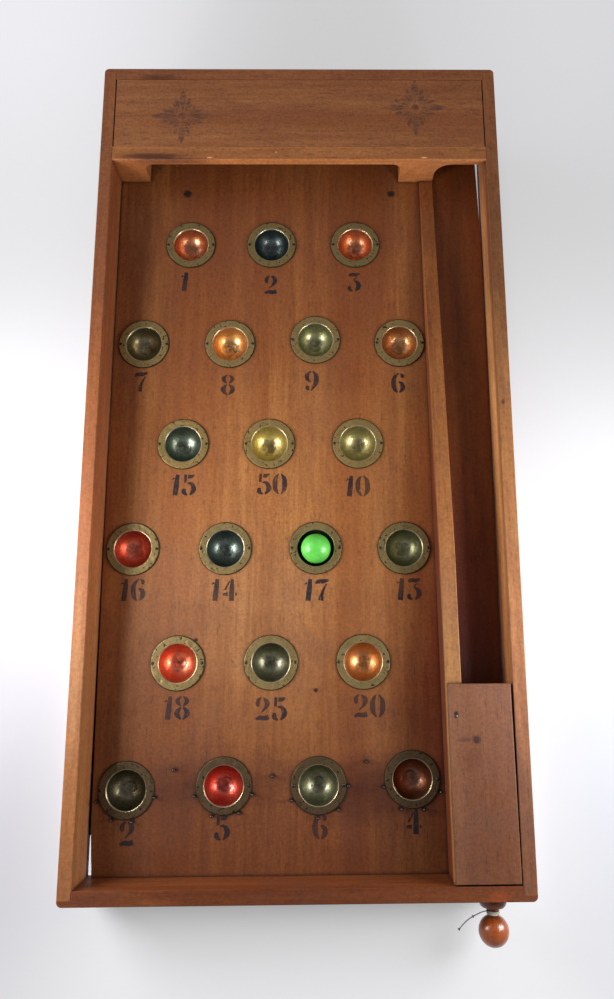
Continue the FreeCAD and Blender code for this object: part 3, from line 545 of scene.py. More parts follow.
class BAGATELLE_OT_board(bpy.types.Operator):
    """Varnish the playing board, with the marks round its pins, and lay a dark strip of painted shade in the
    gap beside it
    """

    bl_idname = "bagatelle.board"
    bl_label = "Playing board"

    def execute(self, context):
        paint(board_material(context, "playing_board"), "playing_board")
        # The finish of the dark strip of painted shade in the gap.
        s = Shader("old_dirt")
        strip_speckle = s.noise(s.spread(), 900, 4, 0.7)
        dirt = s.finish(s.mix(strip_speckle, srgb(26, 19, 15), srgb(62, 46, 34)), 0.95, specular=0.1,
                        normal=s.relief(strip_speckle, 0.0004, 1.0))
        verts = []
        first, last = GAP_SHADE_STRIP[0][0], GAP_SHADE_STRIP[-1][0]
        for k in range(GAP_STEPS + 1):
            y = first + (last - first) * k / GAP_STEPS
            edge = float(np.interp(y, *zip(*GAP_SHADE_STRIP)))
            top = GAP_TOP + GAP_ROUGHNESS * noise.noise(Vector((y * GAP_LUMPS, 0, 0)))
            for x in (RAIL_INSIDE, edge):
                verts += [(x, y, top), (x, y, GAP_BOTTOM)]
        new_piece("gap_dirt", verts, bar_faces(0, GAP_STEPS + 1), dirt, slot="board_wood", smooth=False)
        return {"FINISHED"}


# Patina and stains, and painted light and shade where the lamps fall. A mark is a centre and a reach each way
# in the case's frame, a softness, and a gain of red, green and blue.
def marks_on(level, rows, depth=0.1):
    """Marks on one level of the case, from rows of x, y, reach across and along, softness and gain."""
    return [((x, y, level), (across, along, depth), softness, gain)
            for x, y, across, along, softness, gain in rows]


# Painted light and shade on the board: darker at its head, towards its front, along the left rail, down the
# lane and beside the divider, with a few paler and bluer places.
BOARD_STAINS_LIGHT_AND_SHADE = marks_on(FLOOR, [
    (-0.02, 0.86, 0.50, 0.24, 0.9, (0.62, 0.46, 0.38)),
    (-0.02, 0.62, 0.60, 0.28, 0.9, (0.74, 0.59, 0.56)),
    (-0.03, 0.00, 0.50, 0.32, 0.9, (0.44, 0.33, 0.32)),
    (-0.06, 0.24, 0.16, 0.12, 0.9, (0.96, 1.05, 1.35)),
    (0.165, 0.40, 0.028, 0.70, 0.2, (0.74, 0.56, 0.36)),
    (0.165, 0.20, 0.030, 0.26, 0.6, (0.70, 0.56, 0.64)),
    (0.135, 0.18, 0.070, 0.22, 0.9, (0.68, 0.38, 0.27)),
    (0.120, 0.37, 0.040, 0.12, 0.9, (1.04, 0.82, 0.72)),
    (-0.19, 0.34, 0.055, 0.42, 0.9, (0.72, 0.46, 0.32)),
    (0.08, 0.085, 0.11, 0.04, 0.9, (0.52, 0.42, 0.46)),
    (-0.07, 0.09, 0.13, 0.03, 0.9, (0.66, 0.58, 0.62)),
    (0.030, 0.045, 0.020, 0.012, 0.9, (1.25, 1.25, 1.15)),
])
# Small dark stains round the pins, the nail holes and the two screws: a place and a radius.
DARK_SPOTS = [(-0.0695, 0.1025, 0.0075), (0.0190, 0.0965, 0.0065), (0.1040, 0.1080, 0.0075),
              (0.0145, 0.1705, 0.0030), (-0.0969, 0.2168, 0.0026), (-0.1185, 0.6757, 0.0062),
              (0.0945, 0.6757, 0.0056)]
BOARD_STAINS_LIGHT_AND_SHADE += marks_on(FLOOR, [(x, y, radius, radius * 0.85, 0.6, (0.12, 0.09, 0.09))
                                for x, y, radius in DARK_SPOTS])
STAINS_LIGHT_AND_SHADE = {
    # Painted light and shade along the side rails' tops, and painted light on their inner faces.
    "left_rail": [((-0.19, 0.10, 0), (0.03, 0.26, 0.1), 0.8, (0.86, 1.02, 0.98)),
                  ((-0.195, 0.20, 0), (0.005, 0.10, 0.02), 0.5, (1.15, 1.30, 1.40)),
                  ((-0.19, 0.55, 0), (0.03, 0.32, 0.1), 0.9, (0.74, 0.67, 0.64)),
                  ((-0.188, 0.35, -0.026), (0.002, 0.6, 0.022), 0.4, (1.05, 1.00, 1.05))],
    "right_rail": [((0.19, 0.42, 0), (0.03, 0.36, 0.1), 0.8, (0.80, 0.90, 0.92)),
                   ((0.19, 0.62, 0), (0.03, 0.20, 0.1), 0.9, (0.60, 0.56, 0.60)),
                   ((0.188, 0.42, -0.026), (0.002, 0.50, 0.020), 0.4, (1.90, 2.10, 2.20)),
                   ((0.192, 0.435, 0), (0.0025, 0.0035, 0.02), 0.8, (0.40, 0.34, 0.36)),
                   ((0.19, 0.04, 0), (0.03, 0.22, 0.1), 0.8, (0.42, 0.44, 0.60))],
    # Painted shade on the front rail's top and inner face.
    "bottom_rail": [((0.0, 0.01, -0.03), (0.5, 0.04, 0.05), 0.3, (0.42, 0.31, 0.22)),
                    ((0.168, 0.004, 0), (0.012, 0.006, 0.02), 0.7, (1.5, 1.2, 1.1))],
    "top_rail": [((0.0, 0.79, 0), (0.5, 0.06, 0.1), 0.3, (0.86, 0.80, 0.86)),
                 ((-0.145, 0.783, 0), (0.030, 0.006, 0.02), 0.9, (0.50, 0.44, 0.46))],
    "arch_fascia": marks_on(0, [(-0.145, 0.6935, 0.048, 0.0045, 0.7, (0.34, 0.28, 0.30)),
                                (-0.125, 0.6905, 0.060, 0.0020, 0.8, (0.50, 0.44, 0.46))], 0.02)
    + marks_on(0, [(0.1254, 0.6920, 0.0040, 0.0011, 0.6, (2.6, 3.4, 4.2)),
                   (-0.0238, 0.6979, 0.0014, 0.0011, 0.6, (2.6, 3.4, 4.2)),
                   (-0.0899, 0.6918, 0.0040, 0.0011, 0.6, (2.4, 3.0, 3.6))], 0.01),
    # Painted light and shade on the divider: darker towards its head, lighter low down, and painted shade on
    # its side face.
    "lane_divider": [((0.14, 0.72, FLOOR), (0.06, 0.34, 0.1), 0.9, (0.80, 0.58, 0.42)),
                     ((0.14, 0.16, FLOOR), (0.06, 0.22, 0.1), 0.8, (0.98, 1.20, 1.36)),
                     ((0.128, 0.14, -0.028), (0.012, 0.45, 0.022), 0.4, (0.40, 0.19, 0.17))],
    "plunger_cover": marks_on(0, [(0.137, 0.151, 0.0028, 0.0042, 0.6, (0.10, 0.08, 0.08)),
                                  (0.154, 0.130, 0.0048, 0.0048, 0.6, (0.28, 0.24, 0.26)),
                                  (0.144, 0.130, 0.010, 0.0030, 0.9, (0.62, 0.56, 0.60))], 0.02)
    + marks_on(0, [(0.165, 0.05, 0.05, 0.13, 0.9, (0.78, 0.66, 0.52)),
                   (0.150, 0.115, 0.016, 0.014, 0.9, (0.84, 0.80, 0.80))]),
    # Painted shade on the knob's collar, next to the front rail.
    "plunger_knob": marks_on(-0.025, [(0.166, -0.006, 0.020, 0.013, 0.5, (0.55, 0.48, 0.42)),
                                      (0.166, -0.016, 0.020, 0.007, 0.8, (0.70, 0.62, 0.55))], 0.03),
}


def board_material(context, name, ink=None):
    """The board's wood, darker round its pins, or ink lying on it and worn through to it."""
    s = Shader(name)
    colour, height, blotches = wood_colour(s, context.scene.bagatelle_wood.board, "y", (0.05, 0.4, 0), 0)
    colour = s.stained_and_shaded(colour, BOARD_STAINS_LIGHT_AND_SHADE)
    if ink:
        grain = s.step(s.noise(s.spread((1, 0.35, 1)), 900, 3, 0.6), 0.27, 0.42)
        thin = s.step(s.noise(s.spread(), 22, 2, 0.5), 0.35, 0.62, 0.78, 1.0)
        colour = s.over(colour, grain, thin, ink)
    else:
        # A small dark ring round each fence pin.
        halos = [(x, y - 0.0005, 0.0044, 0.0034, 0.85, (0.16, 0.12, 0.13))
                 for x, y in clusters("guide_pins", PIN_GAP)]
        colour = s.stained_and_shaded(colour, marks_on(FLOOR, halos, 0.02))
    return varnished(s, colour, height, blotches, (0.5, 0.64), 0.06)


class BAGATELLE_OT_fascia(bpy.types.Operator):
    """Varnish the arched fascia and the lane divider"""

    bl_idname = "bagatelle.fascia"
    bl_label = "Fascia and divider"

    def execute(self, context):
        woods = context.scene.bagatelle_wood
        varnish("arch_fascia", woods.fascia, "x", (0.9, 0.2, 0.4), woods.wear_and_highlight)
        varnish("lane_divider", woods.divider, "y", (0.2, 1.3, 0.6), woods.wear_and_highlight)
        return {"FINISHED"}


COVER_SHIFT = (0.4, 0.9, 0.2)  # of the wood's pattern on the top cover, and under its stars


class BAGATELLE_OT_covers(bpy.types.Operator):
    """Finish the top cover and the plunger cover"""

    bl_idname = "bagatelle.covers"
    bl_label = "Covers"

    def execute(self, context):
        woods = context.scene.bagatelle_wood
        varnish("top_cover", woods.covers, "x", COVER_SHIFT, 0.3, 0.5, 0.05)
        varnish("plunger_cover", warmer(woods.covers, 0.55, 0.64, 0.88), "y", (1.4, 0.3, 0.8), 0.5, 0.5, 0.05)
        return {"FINISHED"}


class BAGATELLE_OT_inner_parts(bpy.types.Operator):
    """Finish the hidden woods, and the nails, the screws and the plunger's metal"""

    bl_idname = "bagatelle.inner_parts"
    bl_label = "Inner parts"

    def execute(self, context):
        paint(wood("inner_wood", context.scene.bagatelle_wood.inner, "y", (2.1, 0.1, 0.3), 0, 0.65, 0),
              "top_cover_ledger", "cover_cleat", "plunger_guide", "plunger_rod")
        paint(metal("tarnished_iron", context.scene.bagatelle_cups.iron, 0.42, 0.5), "edge_nails",
              "cover_nail", "board_screws", "spring_washer", "cross_pin", "plunger_spring")
        paint(metal("tinplate", srgb(150, 146, 138), 0.4, 0.4), "turn_guide")
        return {"FINISHED"}


class BAGATELLE_OT_feet(bpy.types.Operator):
    """Finish the turned feet"""

    bl_idname = "bagatelle.feet"
    bl_label = "Feet"

    def execute(self, context):
        paint(wood("foot_wood", context.scene.bagatelle_wood.feet, "z", (0.6, 0.5, 0.9), 0.4, 0.38, 0.3),
              "front_feet", "rear_feet")
        return {"FINISHED"}


# ---- cups
def lacquer_material(name, colour):
    """Tinted lacquer over spun metal, worn in the bottom and through at the mouth."""
    s = Shader(name)
    place = s.spread()
    patches = s.step(s.noise(place, 110, 4, 0.6), 0.38, 0.70)
    specks = s.step(s.noise(place, 520, 3, 0.6), 0.64, 0.74)
    bright = s.step(s.noise(place, 260, 4, 0.65, 1.5), 0.52, 0.70)
    smudge = s.step(s.noise(s.spread(shift=(4, 9, 0)), 150, 4, 0.65, 0.8), 0.40, 0.62)
    bottom = s.math("SUBTRACT", 1.0, s.between(FLOOR - BOWL_R, FLOOR - 0.66 * BOWL_R))
    mouth = s.between(FLOOR - 0.0012, FLOOR - 0.0002)
    tone = s.over(colour, patches, 0.45, warmer(colour, 0.50, 0.40, 0.42))
    tone = s.over(tone, bright, 0.75, warmer(colour, 1.5, 2.1, 1.8))
    tone = s.over(tone, s.times(bottom, smudge), 0.85, warmer(colour, 0.34, 0.28, 0.30))
    tone = s.over(tone, specks, 0.7, darker(colour, 0.12))
    tone = s.over(tone, mouth, 0.6, srgb(214, 204, 176))
    gloss = s.step(s.math("MAXIMUM", patches, bottom), 0.0, 1.0, 0.30, 0.40)
    return s.finish(tone, gloss, metallic=0.95, coat=0.9, coat_roughness=0.16,
                    normal=s.relief(s.math("ADD", patches, bright), 0.00006, 0.45))


def bowl_height(radius):
    """Height of a bowl's inside over its depth, with the dimple pressed into its bottom."""
    share = min(max((DIMPLE_R + DIMPLE_EDGE / 2 - radius) / DIMPLE_EDGE, 0), 1)
    return FLOOR - math.sqrt(BOWL_R ** 2 - radius ** 2) - DIMPLE_D * share * share * (3 - 2 * share)


def bowl_profile():
    """Inside and outside of a spun bowl, with its rim, from the inner centre round to the outer."""
    arcs = 44
    turns = [math.pi / 2 * k / arcs for k in range(arcs + 1)]
    inside = [(BOWL_R * math.sin(a), bowl_height(BOWL_R * math.sin(a))) for a in turns]
    lip = [(BOWL_R + 0.0002, FLOOR + BOWL_WALL * 0.7), (BOWL_R + 0.0007, FLOOR + BOWL_WALL),
           (FLANGE_R, FLOOR + BOWL_WALL), (FLANGE_R, FLOOR)]
    outside = [((BOWL_R + BOWL_WALL) * math.sin(a), height - BOWL_WALL * math.cos(a))
               for a, (_, height) in zip(reversed(turns), reversed(inside))]
    return inside + lip + outside


class BAGATELLE_OT_bowls(bpy.types.Operator):
    """Build the spun and lacquered bowls"""

    bl_idname = "bagatelle.bowls"
    bl_label = "Bowls"

    def execute(self, context):
        cups = context.scene.bagatelle_cups
        for node, (lacquer, bowl_gains) in LACQUERS.items():
            for index, (centre, bowl_gain) in enumerate(zip(clusters(node), bowl_gains, strict=True)):
                name = "%s_%d" % (lacquer, index + 1)
                colour = warmer(getattr(cups, lacquer), *(AGEING * gain for gain in bowl_gain))
                made = new_piece("bowl_" + name, *lathe(bowl_profile(), BOWL_STEPS, centre),
                                 lacquer_material("lacquer_" + name, colour), slot="lacquer_" + lacquer)
                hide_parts(node)
        return {"FINISHED"}


# Painted light and shade on the rings, row by row: darker in the front row and paler in the fourth and fifth.
RING_ROW_LIGHT_AND_SHADE = marks_on(FLOOR, [(0, 0.085, 0.5, 0.06, 0.3, (0.42, 0.37, 0.46)),
                              (0, 0.41, 0.5, 0.05, 0.3, (1.25, 1.18, 1.06)),
                              (0, 0.53, 0.5, 0.06, 0.3, (1.22, 1.16, 1.15))])


def ring_brass(colour):
    """Aged brass with patches, green tarnish and pits, and painted light and shade row by row."""
    s = Shader("ring_brass")
    patches = s.step(s.noise(s.spread(), 90, 4, 0.65), 0.36, 0.7)
    green = s.step(s.noise(s.spread(shift=(3, 1, 0)), 60, 3, 0.6), 0.5, 0.75)
    pits = s.step(s.noise(s.spread(shift=(7, 2, 0)), 330, 2, 0.45), 0.635, 0.68)
    specks = s.step(s.noise(s.spread(), 900, 2, 0.5), 0.62, 0.69)
    tone = s.over(colour, patches, 0.55, darker(colour, 0.5))
    tone = s.over(tone, green, 0.4, warmer(colour, 0.6, 0.72, 0.5))
    tone = s.over(tone, s.math("MAXIMUM", pits, specks), 0.88, darker(colour, 0.06))
    tone = s.stained_and_shaded(tone, RING_ROW_LIGHT_AND_SHADE)
    # Painted shade and dirt round the nail heads and in the bore.
    tone = s.over(tone, s.joint_dirt_and_shade(0.0018), 0.85, darker(colour, 0.06))
    return s.finish(tone, s.step(patches, 0, 1, 0.40, 0.60), metallic=0.8,
                    normal=s.relief(s.math("SUBTRACT", patches, pits), 0.0002, 0.6))


KNOCK_COUNTS = (9, 16)  # fewest and most on a ring
KNOCK_SIZES = (0.0006, 0.0013)
WAVE = 0.0001  # height of a ring's ripples
RIPPLES = 220  # how many in a metre


def ring_surface(centre, dice, depth):
    """The waviness and the knocks of one brass ring, as a change of radius and height."""
    knocks = []
    for _ in range(dice.randint(*KNOCK_COUNTS)):
        angle = dice.uniform(0, 2 * math.pi)
        radius = dice.uniform(RING_BORE + 0.001, RING_R - 0.001)
        knocks.append((radius * math.cos(angle), radius * math.sin(angle), dice.uniform(*KNOCK_SIZES),
                       dice.uniform(0.4, 1.0) * depth))
    seed = dice.uniform(0, 50)

    def wobble(angle, radius, height):
        if height < FLOOR + RING_T * 0.7:
            return 0, 0
        x, y = radius * math.cos(angle), radius * math.sin(angle)
        down = sum(deep * math.exp(-((x - kx) ** 2 + (y - ky) ** 2) / size ** 2)
                   for kx, ky, size, deep in knocks)
        wave = WAVE * noise.noise(Vector((x * RIPPLES + seed, y * RIPPLES, centre[0] * 9)))
        return 0, -WAVE - down + wave

    return wobble


LIP, RIM = 1, 2  # where these metals are among a ring's materials
FLAT_STEPS = 9  # bands across a ring's flat, between the rounded arrises


class BAGATELLE_OT_rings(bpy.types.Operator):
    """Build the knocked and aged brass rings"""

    bl_idname = "bagatelle.rings"
    bl_label = "Rings"

    def execute(self, context):
        cups = context.scene.bagatelle_cups
        brass = ring_brass(cups.rings)
        lip = metal("ring_lip", srgb(182, 168, 132), 0.30, 0.85, 90)
        # The rim metal is painted shade and grime: dark on the outer edge where the ring meets the board, and
        # on the bore's wall.
        rim = metal("ring_rim", darker(cups.rings, 0.16), 0.6, 0.5, 90)
        dice = random.Random(11)
        top = FLOOR + RING_T
        inside = [(RING_BORE, FLOOR + BOWL_WALL), (RING_BORE, top - 0.0004),
                  (RING_BORE + 0.0003, top - 0.0001)]
        flat = [(RING_BORE + 0.0006 + (RING_R - 0.0012 - RING_BORE) * k / FLAT_STEPS, top)
                for k in range(FLAT_STEPS + 1)]
        outside = [(RING_R - 0.0002, top - 0.0003), (RING_R, top - 0.0007), (RING_R, FLOOR),
                   (RING_STEP, FLOOR), (RING_STEP, FLOOR + BOWL_WALL)]
        profile = inside + flat + outside
        for node in SCORES:
            for index, centre in enumerate(clusters(node)):
                surface = ring_surface(centre, dice, cups.dents)
                made = new_piece("%s_%d" % (node, index + 1), *lathe(profile, RING_STEPS, centre, surface),
                                 brass, slot="ring_brass")
                for material in (lip, rim):
                    made.data.materials.append(material)
                for face in made.data.polygons:
                    band = face.index // RING_STEPS
                    if 0 < band < len(inside):
                        face.material_index = LIP
                    elif band == 0 or band >= len(inside + flat) - 1:
                        face.material_index = RIM
                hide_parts(node)
        return {"FINISHED"}


class BAGATELLE_OT_brads(bpy.types.Operator):
    """Finish the ring nails and the fence pins"""

    bl_idname = "bagatelle.brads"
    bl_label = "Nails and pins"

    def execute(self, context):
        cups = context.scene.bagatelle_cups
        paint(metal("ring_nail", darker(cups.iron, 0.5), 0.42, 0.6), "ring_nails")
        paint(metal("fence_pin", cups.brads, 0.36, 0.45), "guide_pins")
        return {"FINISHED"}


# ---- stencilled scores and stars
# Each stroke of a figure is a list of (across, up, half width), in hundredths of the figure's height.
FIGURES = {
    "0": [[(27, 100, 2), (12, 75, 10), (10, 50, 11.5), (12, 25, 10), (27, 0, 2)],
          [(38, 100, 2), (53, 75, 10), (55, 50, 11.5), (53, 25, 10), (38, 0, 2)]],
    "1": [[(15, 0, 12), (20, 50, 11.5), (25, 100, 8.5)], [(0, 76, 2), (10, 84, 5)]],
    "2": [[(14, 60, 5), (10, 74, 10), (15, 90, 7.5), (27, 99, 2)],
          [(35, 99, 3), (52, 80, 11), (49, 60, 9), (34, 42, 3.5), (24, 31, 2)],
          [(2, 6, 5), (22, 13, 9.5), (42, 10, 10), (60, 16, 11)]],
    "3": [[(10, 82, 6), (20, 90, 9), (42, 89, 9), (62, 95, 4)],
          [(48, 76, 3), (33, 60, 3)],
          [(34, 58, 3), (52, 44, 10), (55, 22, 11.5), (38, 1, 3)],
          [(26, 1, 3), (10, 12, 9), (11, 28, 6)]],
    "4": [[(48, 100, 7), (46, 50, 11), (45, 0, 12)], [(36, 90, 2.5), (14, 50, 5)],
          [(4, 30, 5), (28, 31, 9)], [(62, 30, 8), (70, 31, 5)]],
    "5": [[(17, 100, 7), (15, 60, 6)], [(28, 91, 9), (42, 90, 9), (58, 97, 4)],
          [(25, 58, 3), (45, 55, 8), (56, 28, 12), (38, 1, 3)],
          [(27, 1, 3), (10, 14, 10), (12, 32, 7)]],
    "6": [[(36, 100, 3), (17, 78, 9), (11, 48, 12), (16, 20, 10), (29, 1, 3)],
          [(43, 98, 3), (54, 88, 8), (53, 76, 6)],
          [(36, 57, 3), (53, 44, 10), (55, 22, 11), (39, 1, 3)]],
    "7": [[(4, 78, 3), (14, 88, 9), (36, 89, 10), (64, 95, 5)],
          [(54, 78, 3), (36, 42, 6), (27, 2, 12)]],
    "8": [[(28, 100, 3), (11, 80, 9.5), (27, 58, 3)], [(37, 100, 3), (54, 80, 9.5), (38, 58, 3)],
          [(27, 53, 3), (10, 27, 12), (28, 0, 3)], [(38, 53, 3), (56, 27, 12), (37, 0, 3)]],
    "9": [[(28, 100, 3), (11, 80, 10), (11, 60, 9), (27, 44, 3)],
          [(37, 100, 3), (54, 74, 11), (51, 38, 11), (29, 1, 3)],
          [(12, 26, 6), (11, 13, 9), (20, 2, 3)]],
}
FIGURE_WIDTH = {figure: 0.37 if figure == "1" else 0.66 for figure in FIGURES}
FIGURE_GAP = 0.09
FIGURE_ROUGHNESS = 0.006  # of a stroke's edges, as a share of the figure's height
INK_T = 0.00006
INK_LIFT = 0.00001  # of the ink's underside over the wood
STROKE_STEPS = 18
STROKE_END = 1e-6  # how far before a stroke's end its last point is taken, in spans


def along_stroke(points):
    """Evenly spaced points of the smooth curve through a stroke's points."""
    ends = [points[0]] + list(points) + [points[-1]]
    made = []
    spans = len(points) - 1
    for k in range(STROKE_STEPS + 1):
        position = min(spans * k / STROKE_STEPS, spans - STROKE_END)
        span = int(position)
        t = position - span
        made.append(tuple(0.5 * (2 * b + (c - a) * t + (2 * a - 5 * b + 4 * c - d) * t * t
                                 + (3 * b - a - 3 * c + d) * t ** 3)
                          for a, b, c, d in zip(*ends[span:span + 4])))
    return made


def add_stroke(verts, faces, points, origin, scale, dice, rough):
    """Adds one thin raised stroke of ink, from the place of its figure's origin and its scale each way."""
    path = along_stroke(points)
    first = len(verts)
    for k, (x, y, half) in enumerate(path):
        before = path[max(k - 1, 0)]
        after = path[min(k + 1, len(path) - 1)]
        dx, dy = after[0] - before[0], after[1] - before[1]
        size = math.hypot(dx, dy)
        half = max(half + dice.uniform(-rough, rough), rough)
        nx, ny = -dy / size * half, dx / size * half
        for sx, sy in ((x + nx, y + ny), (x - nx, y - ny)):
            for lift in (INK_T, INK_LIFT):
                verts.append((origin[0] + sx * scale[0], origin[1] + sy * scale[1], origin[2] + lift))
    faces += bar_faces(first, len(path))


class BAGATELLE_OT_scores(bpy.types.Operator):
    """Stencil the scores below the cups"""

    bl_idname = "bagatelle.scores"
    bl_label = "Scores"

    def execute(self, context):
        prints = context.scene.bagatelle_prints
        ink = board_material(context, "score_ink", tuple(prints.ink))
        size = prints.height
        for node, scores in SCORES.items():
            for (score, across, up), (x, y) in zip(scores, clusters(node)):
                dice = random.Random(score + node)
                width = sum(FIGURE_WIDTH[f] for f in score) + FIGURE_GAP * (len(score) - 1)
                left = x + across / 1000 - width * size / 2
                base = y + up / 1000 - size / 2
                verts, faces = [], []
                for figure in score:
                    for stroke in FIGURES[figure]:
                        points = [tuple(part / 100 for part in point) for point in stroke]
                        add_stroke(verts, faces, points, (left, base, FLOOR), (size, size), dice,
                                   FIGURE_ROUGHNESS)
                    left += (FIGURE_WIDTH[figure] + FIGURE_GAP) * size
                new_piece("score_%s_%s" % (score, node.split("_")[1]), verts, faces, ink, slot="board_wood",
                          smooth=False)
        return {"FINISHED"}


STARS = [(-0.1191, 0.7389, 1.0), (0.1178, 0.7491, 1.04)]
STAR_WIDTH = 0.0310
STAR_HEIGHT = 0.0318
STAR_ROUGHNESS = 0.004
DOT_R = 0.06  # of the stroke round a star's middle
DOT_HALF = 0.062  # its half width, which closes it to a dot
DOT_ROUGHNESS = 0.003
TIPS = (0.010, 0.006)  # half widths of a ray's inner and outer ends
# One arm and the petals up to the next: angle, inner end, widest place, outer end and half width.
STAR_RAYS = ((0, 0.18, 0.62, 1.0, 0.105), (0.36, 0.24, 0.56, 0.70, 0.058), (0.62, 0.20, 0.40, 0.54, 0.045),
             (0.96, 0.20, 0.40, 0.54, 0.045), (1.21, 0.24, 0.56, 0.70, 0.058))


def star_strokes():
    """A pointed cross with petals between its arms, in units of its own reach."""
    strokes = []
    for quarter in range(4):
        for angle, near, belly, far, half in STAR_RAYS:
            a = quarter * math.pi / 2 + angle
            strokes.append([(reach * math.cos(a), reach * math.sin(a), width)
                            for reach, width in ((near, TIPS[0]), (belly, half), (far, TIPS[1]))])
    return strokes


class BAGATELLE_OT_stars(bpy.types.Operator):
    """Stencil the two faded stars on the top cover"""

    bl_idname = "bagatelle.stars"
    bl_label = "Stars"

    def execute(self, context):
        s = Shader("star_ink")
        colour, height, _ = wood_colour(s, context.scene.bagatelle_wood.covers, "x", COVER_SHIFT, 0)
        worn = s.step(s.noise(s.spread((0.4, 1, 1)), 420, 3, 0.6), 0.38, 0.62, 0.25, 0.85)
        colour = s.mix(worn, colour, tuple(context.scene.bagatelle_prints.faded))
        ink = s.finish(colour, 0.55, normal=s.relief(height, PORE_DEPTH, 0.6))
        for index, (x, y, scale) in enumerate(STARS):
            dice = random.Random(index)
            verts, faces = [], []
            for stroke in star_strokes():
                add_stroke(verts, faces, stroke, (x, y, 0), (STAR_WIDTH * scale, STAR_HEIGHT * scale), dice,
                           STAR_ROUGHNESS)
            turns = [2 * math.pi * k / 12 for k in range(13)]
            dot = [(DOT_R * math.cos(a), DOT_R * math.sin(a), DOT_HALF) for a in turns]
            add_stroke(verts, faces, dot, (x, y, 0), (STAR_WIDTH, STAR_WIDTH), dice, DOT_ROUGHNESS)
            new_piece("star_%d" % (index + 1), verts, faces, ink, slot="cover_wood", smooth=False)
        return {"FINISHED"}


# ---- ball and plunger
class BAGATELLE_OT_ball(bpy.types.Operator):
    """Finish the green ball"""

    bl_idname = "bagatelle.ball"
    bl_label = "Ball"

    def execute(self, context):
        s = Shader("ball_green")
        clouds = s.step(s.noise(s.spread(), 90, 3, 0.6), 0.35, 0.7)
        scuffs = s.step(s.noise(s.spread(shift=(1, 2, 3)), 700, 2, 0.6), 0.66, 0.74)
        green = tuple(context.scene.bagatelle_small.ball)
        colour = s.mix(clouds, warmer(green, 0.8, 0.88, 0.8), warmer(green, 1.2, 1.1, 1.25))
        colour = s.over(colour, scuffs, 0.4, darker(green, 0.5))
        paint(s.finish(colour, s.step(scuffs, 0, 1, 0.36, 0.5), coat=0.15, coat_roughness=0.3), "ball")
        return {"FINISHED"}


class BAGATELLE_OT_knob(bpy.types.Operator):
    """Finish the turned plunger knob"""

    bl_idname = "bagatelle.knob"
    bl_label = "Knob"

    def execute(self, context):
        varnish("plunger_knob", context.scene.bagatelle_wood.knob, "y", (1.7, 0.2, 0.5), 0.25, 0.20, 0.7)
        return {"FINISHED"}


# The loose end's line from the winding to its last knot, in millimetres of the case's frame.
THREAD_ROUTE = [(161.4, -13.9, -24.4), (157.5, -13.9, -22.6), (153.9, -15.4, -23.0), (149.4, -18.4, -25.3),
                (145.2, -22.1, -28.3), (141.6, -26.8, -31.8), (138.6, -32.0, -35.6)]
THREAD_D = 0.0009
THREAD_PITCH = 0.0024
STRAND_OFF = 0.26 * THREAD_D  # from the thread's middle to each strand's
STRAND_R = 0.24 * THREAD_D
KNOT_R = 0.36 * THREAD_D  # of the thread pulled tight in a knot
KNOT_SIZE = 0.00045 / 1.6
KNOT_STEPS = 60
WINDING_STEPS = 110  # points in each turn of the winding


def thread_path():
    """Points along the smooth line of the loose end, in the case's frame."""
    curve = bpy.data.curves.new("thread_line", "CURVE")
    curve.dimensions = "3D"
    spline = curve.splines.new("NURBS")
    spline.points.add(len(THREAD_ROUTE) - 1)
    for point, place in zip(spline.points, THREAD_ROUTE):
        point.co = (*(Vector(place) / 1000), 1)
    spline.order_u = 3
    spline.use_endpoint_u = True
    spline.resolution_u = 24
    line = bpy.data.objects.new("thread_line", curve)
    mesh = bpy.data.meshes.new_from_object(line)
    path = [vertex.co.copy() for vertex in mesh.vertices]
    bpy.data.meshes.remove(mesh)
    bpy.data.objects.remove(line)
    bpy.data.curves.remove(curve)
    return path


def knot_path(centre):
    """A small overhand knot pulled up round a point of the thread."""
    made = []
    for k in range(KNOT_STEPS + 1):
        t = 2 * math.pi * k / KNOT_STEPS
        made.append(centre + Vector((math.sin(t) + 2 * math.sin(2 * t), math.cos(t) - 2 * math.cos(2 * t),
                                     -math.sin(3 * t))) * KNOT_SIZE)
    return made


def winding_path():
    """The turns of thread side by side on the knob's neck, from one end of the binding to the other."""
    points = case_points("thread_binding")
    low, high = points.min(0), points.max(0)
    middle = (low + high) / 2
    radius = (high[0] - low[0] - THREAD_D) / 2
    turns = round((high[1] - low[1]) / THREAD_D)
    steps = WINDING_STEPS * turns
    reach = high[1] - low[1] - THREAD_D
    made = []
    for k in range(steps + 1):
        angle = 2 * math.pi * turns * k / steps
        made.append(Vector((middle[0] + radius * math.cos(angle), low[1] + THREAD_D / 2 + reach * k / steps,
                            middle[2] + radius * math.sin(angle))))
    return made


def cotton(name, dark, pale):
    """Spun cotton, darker where dirt has settled."""
    s = Shader(name)
    fibres = s.noise(s.spread(), 2600, 3, 0.65)
    dirt = s.step(s.noise(s.spread(shift=(1, 0, 2)), 240, 3, 0.6), 0.35, 0.7)
    colour = s.mix(s.step(fibres, 0.3, 0.7), dark, pale)
    colour = s.over(colour, dirt, 0.35, darker(dark, 0.6))
    return s.finish(colour, 0.9, specular=0.2, normal=s.relief(fibres, 0.0001, 0.8))


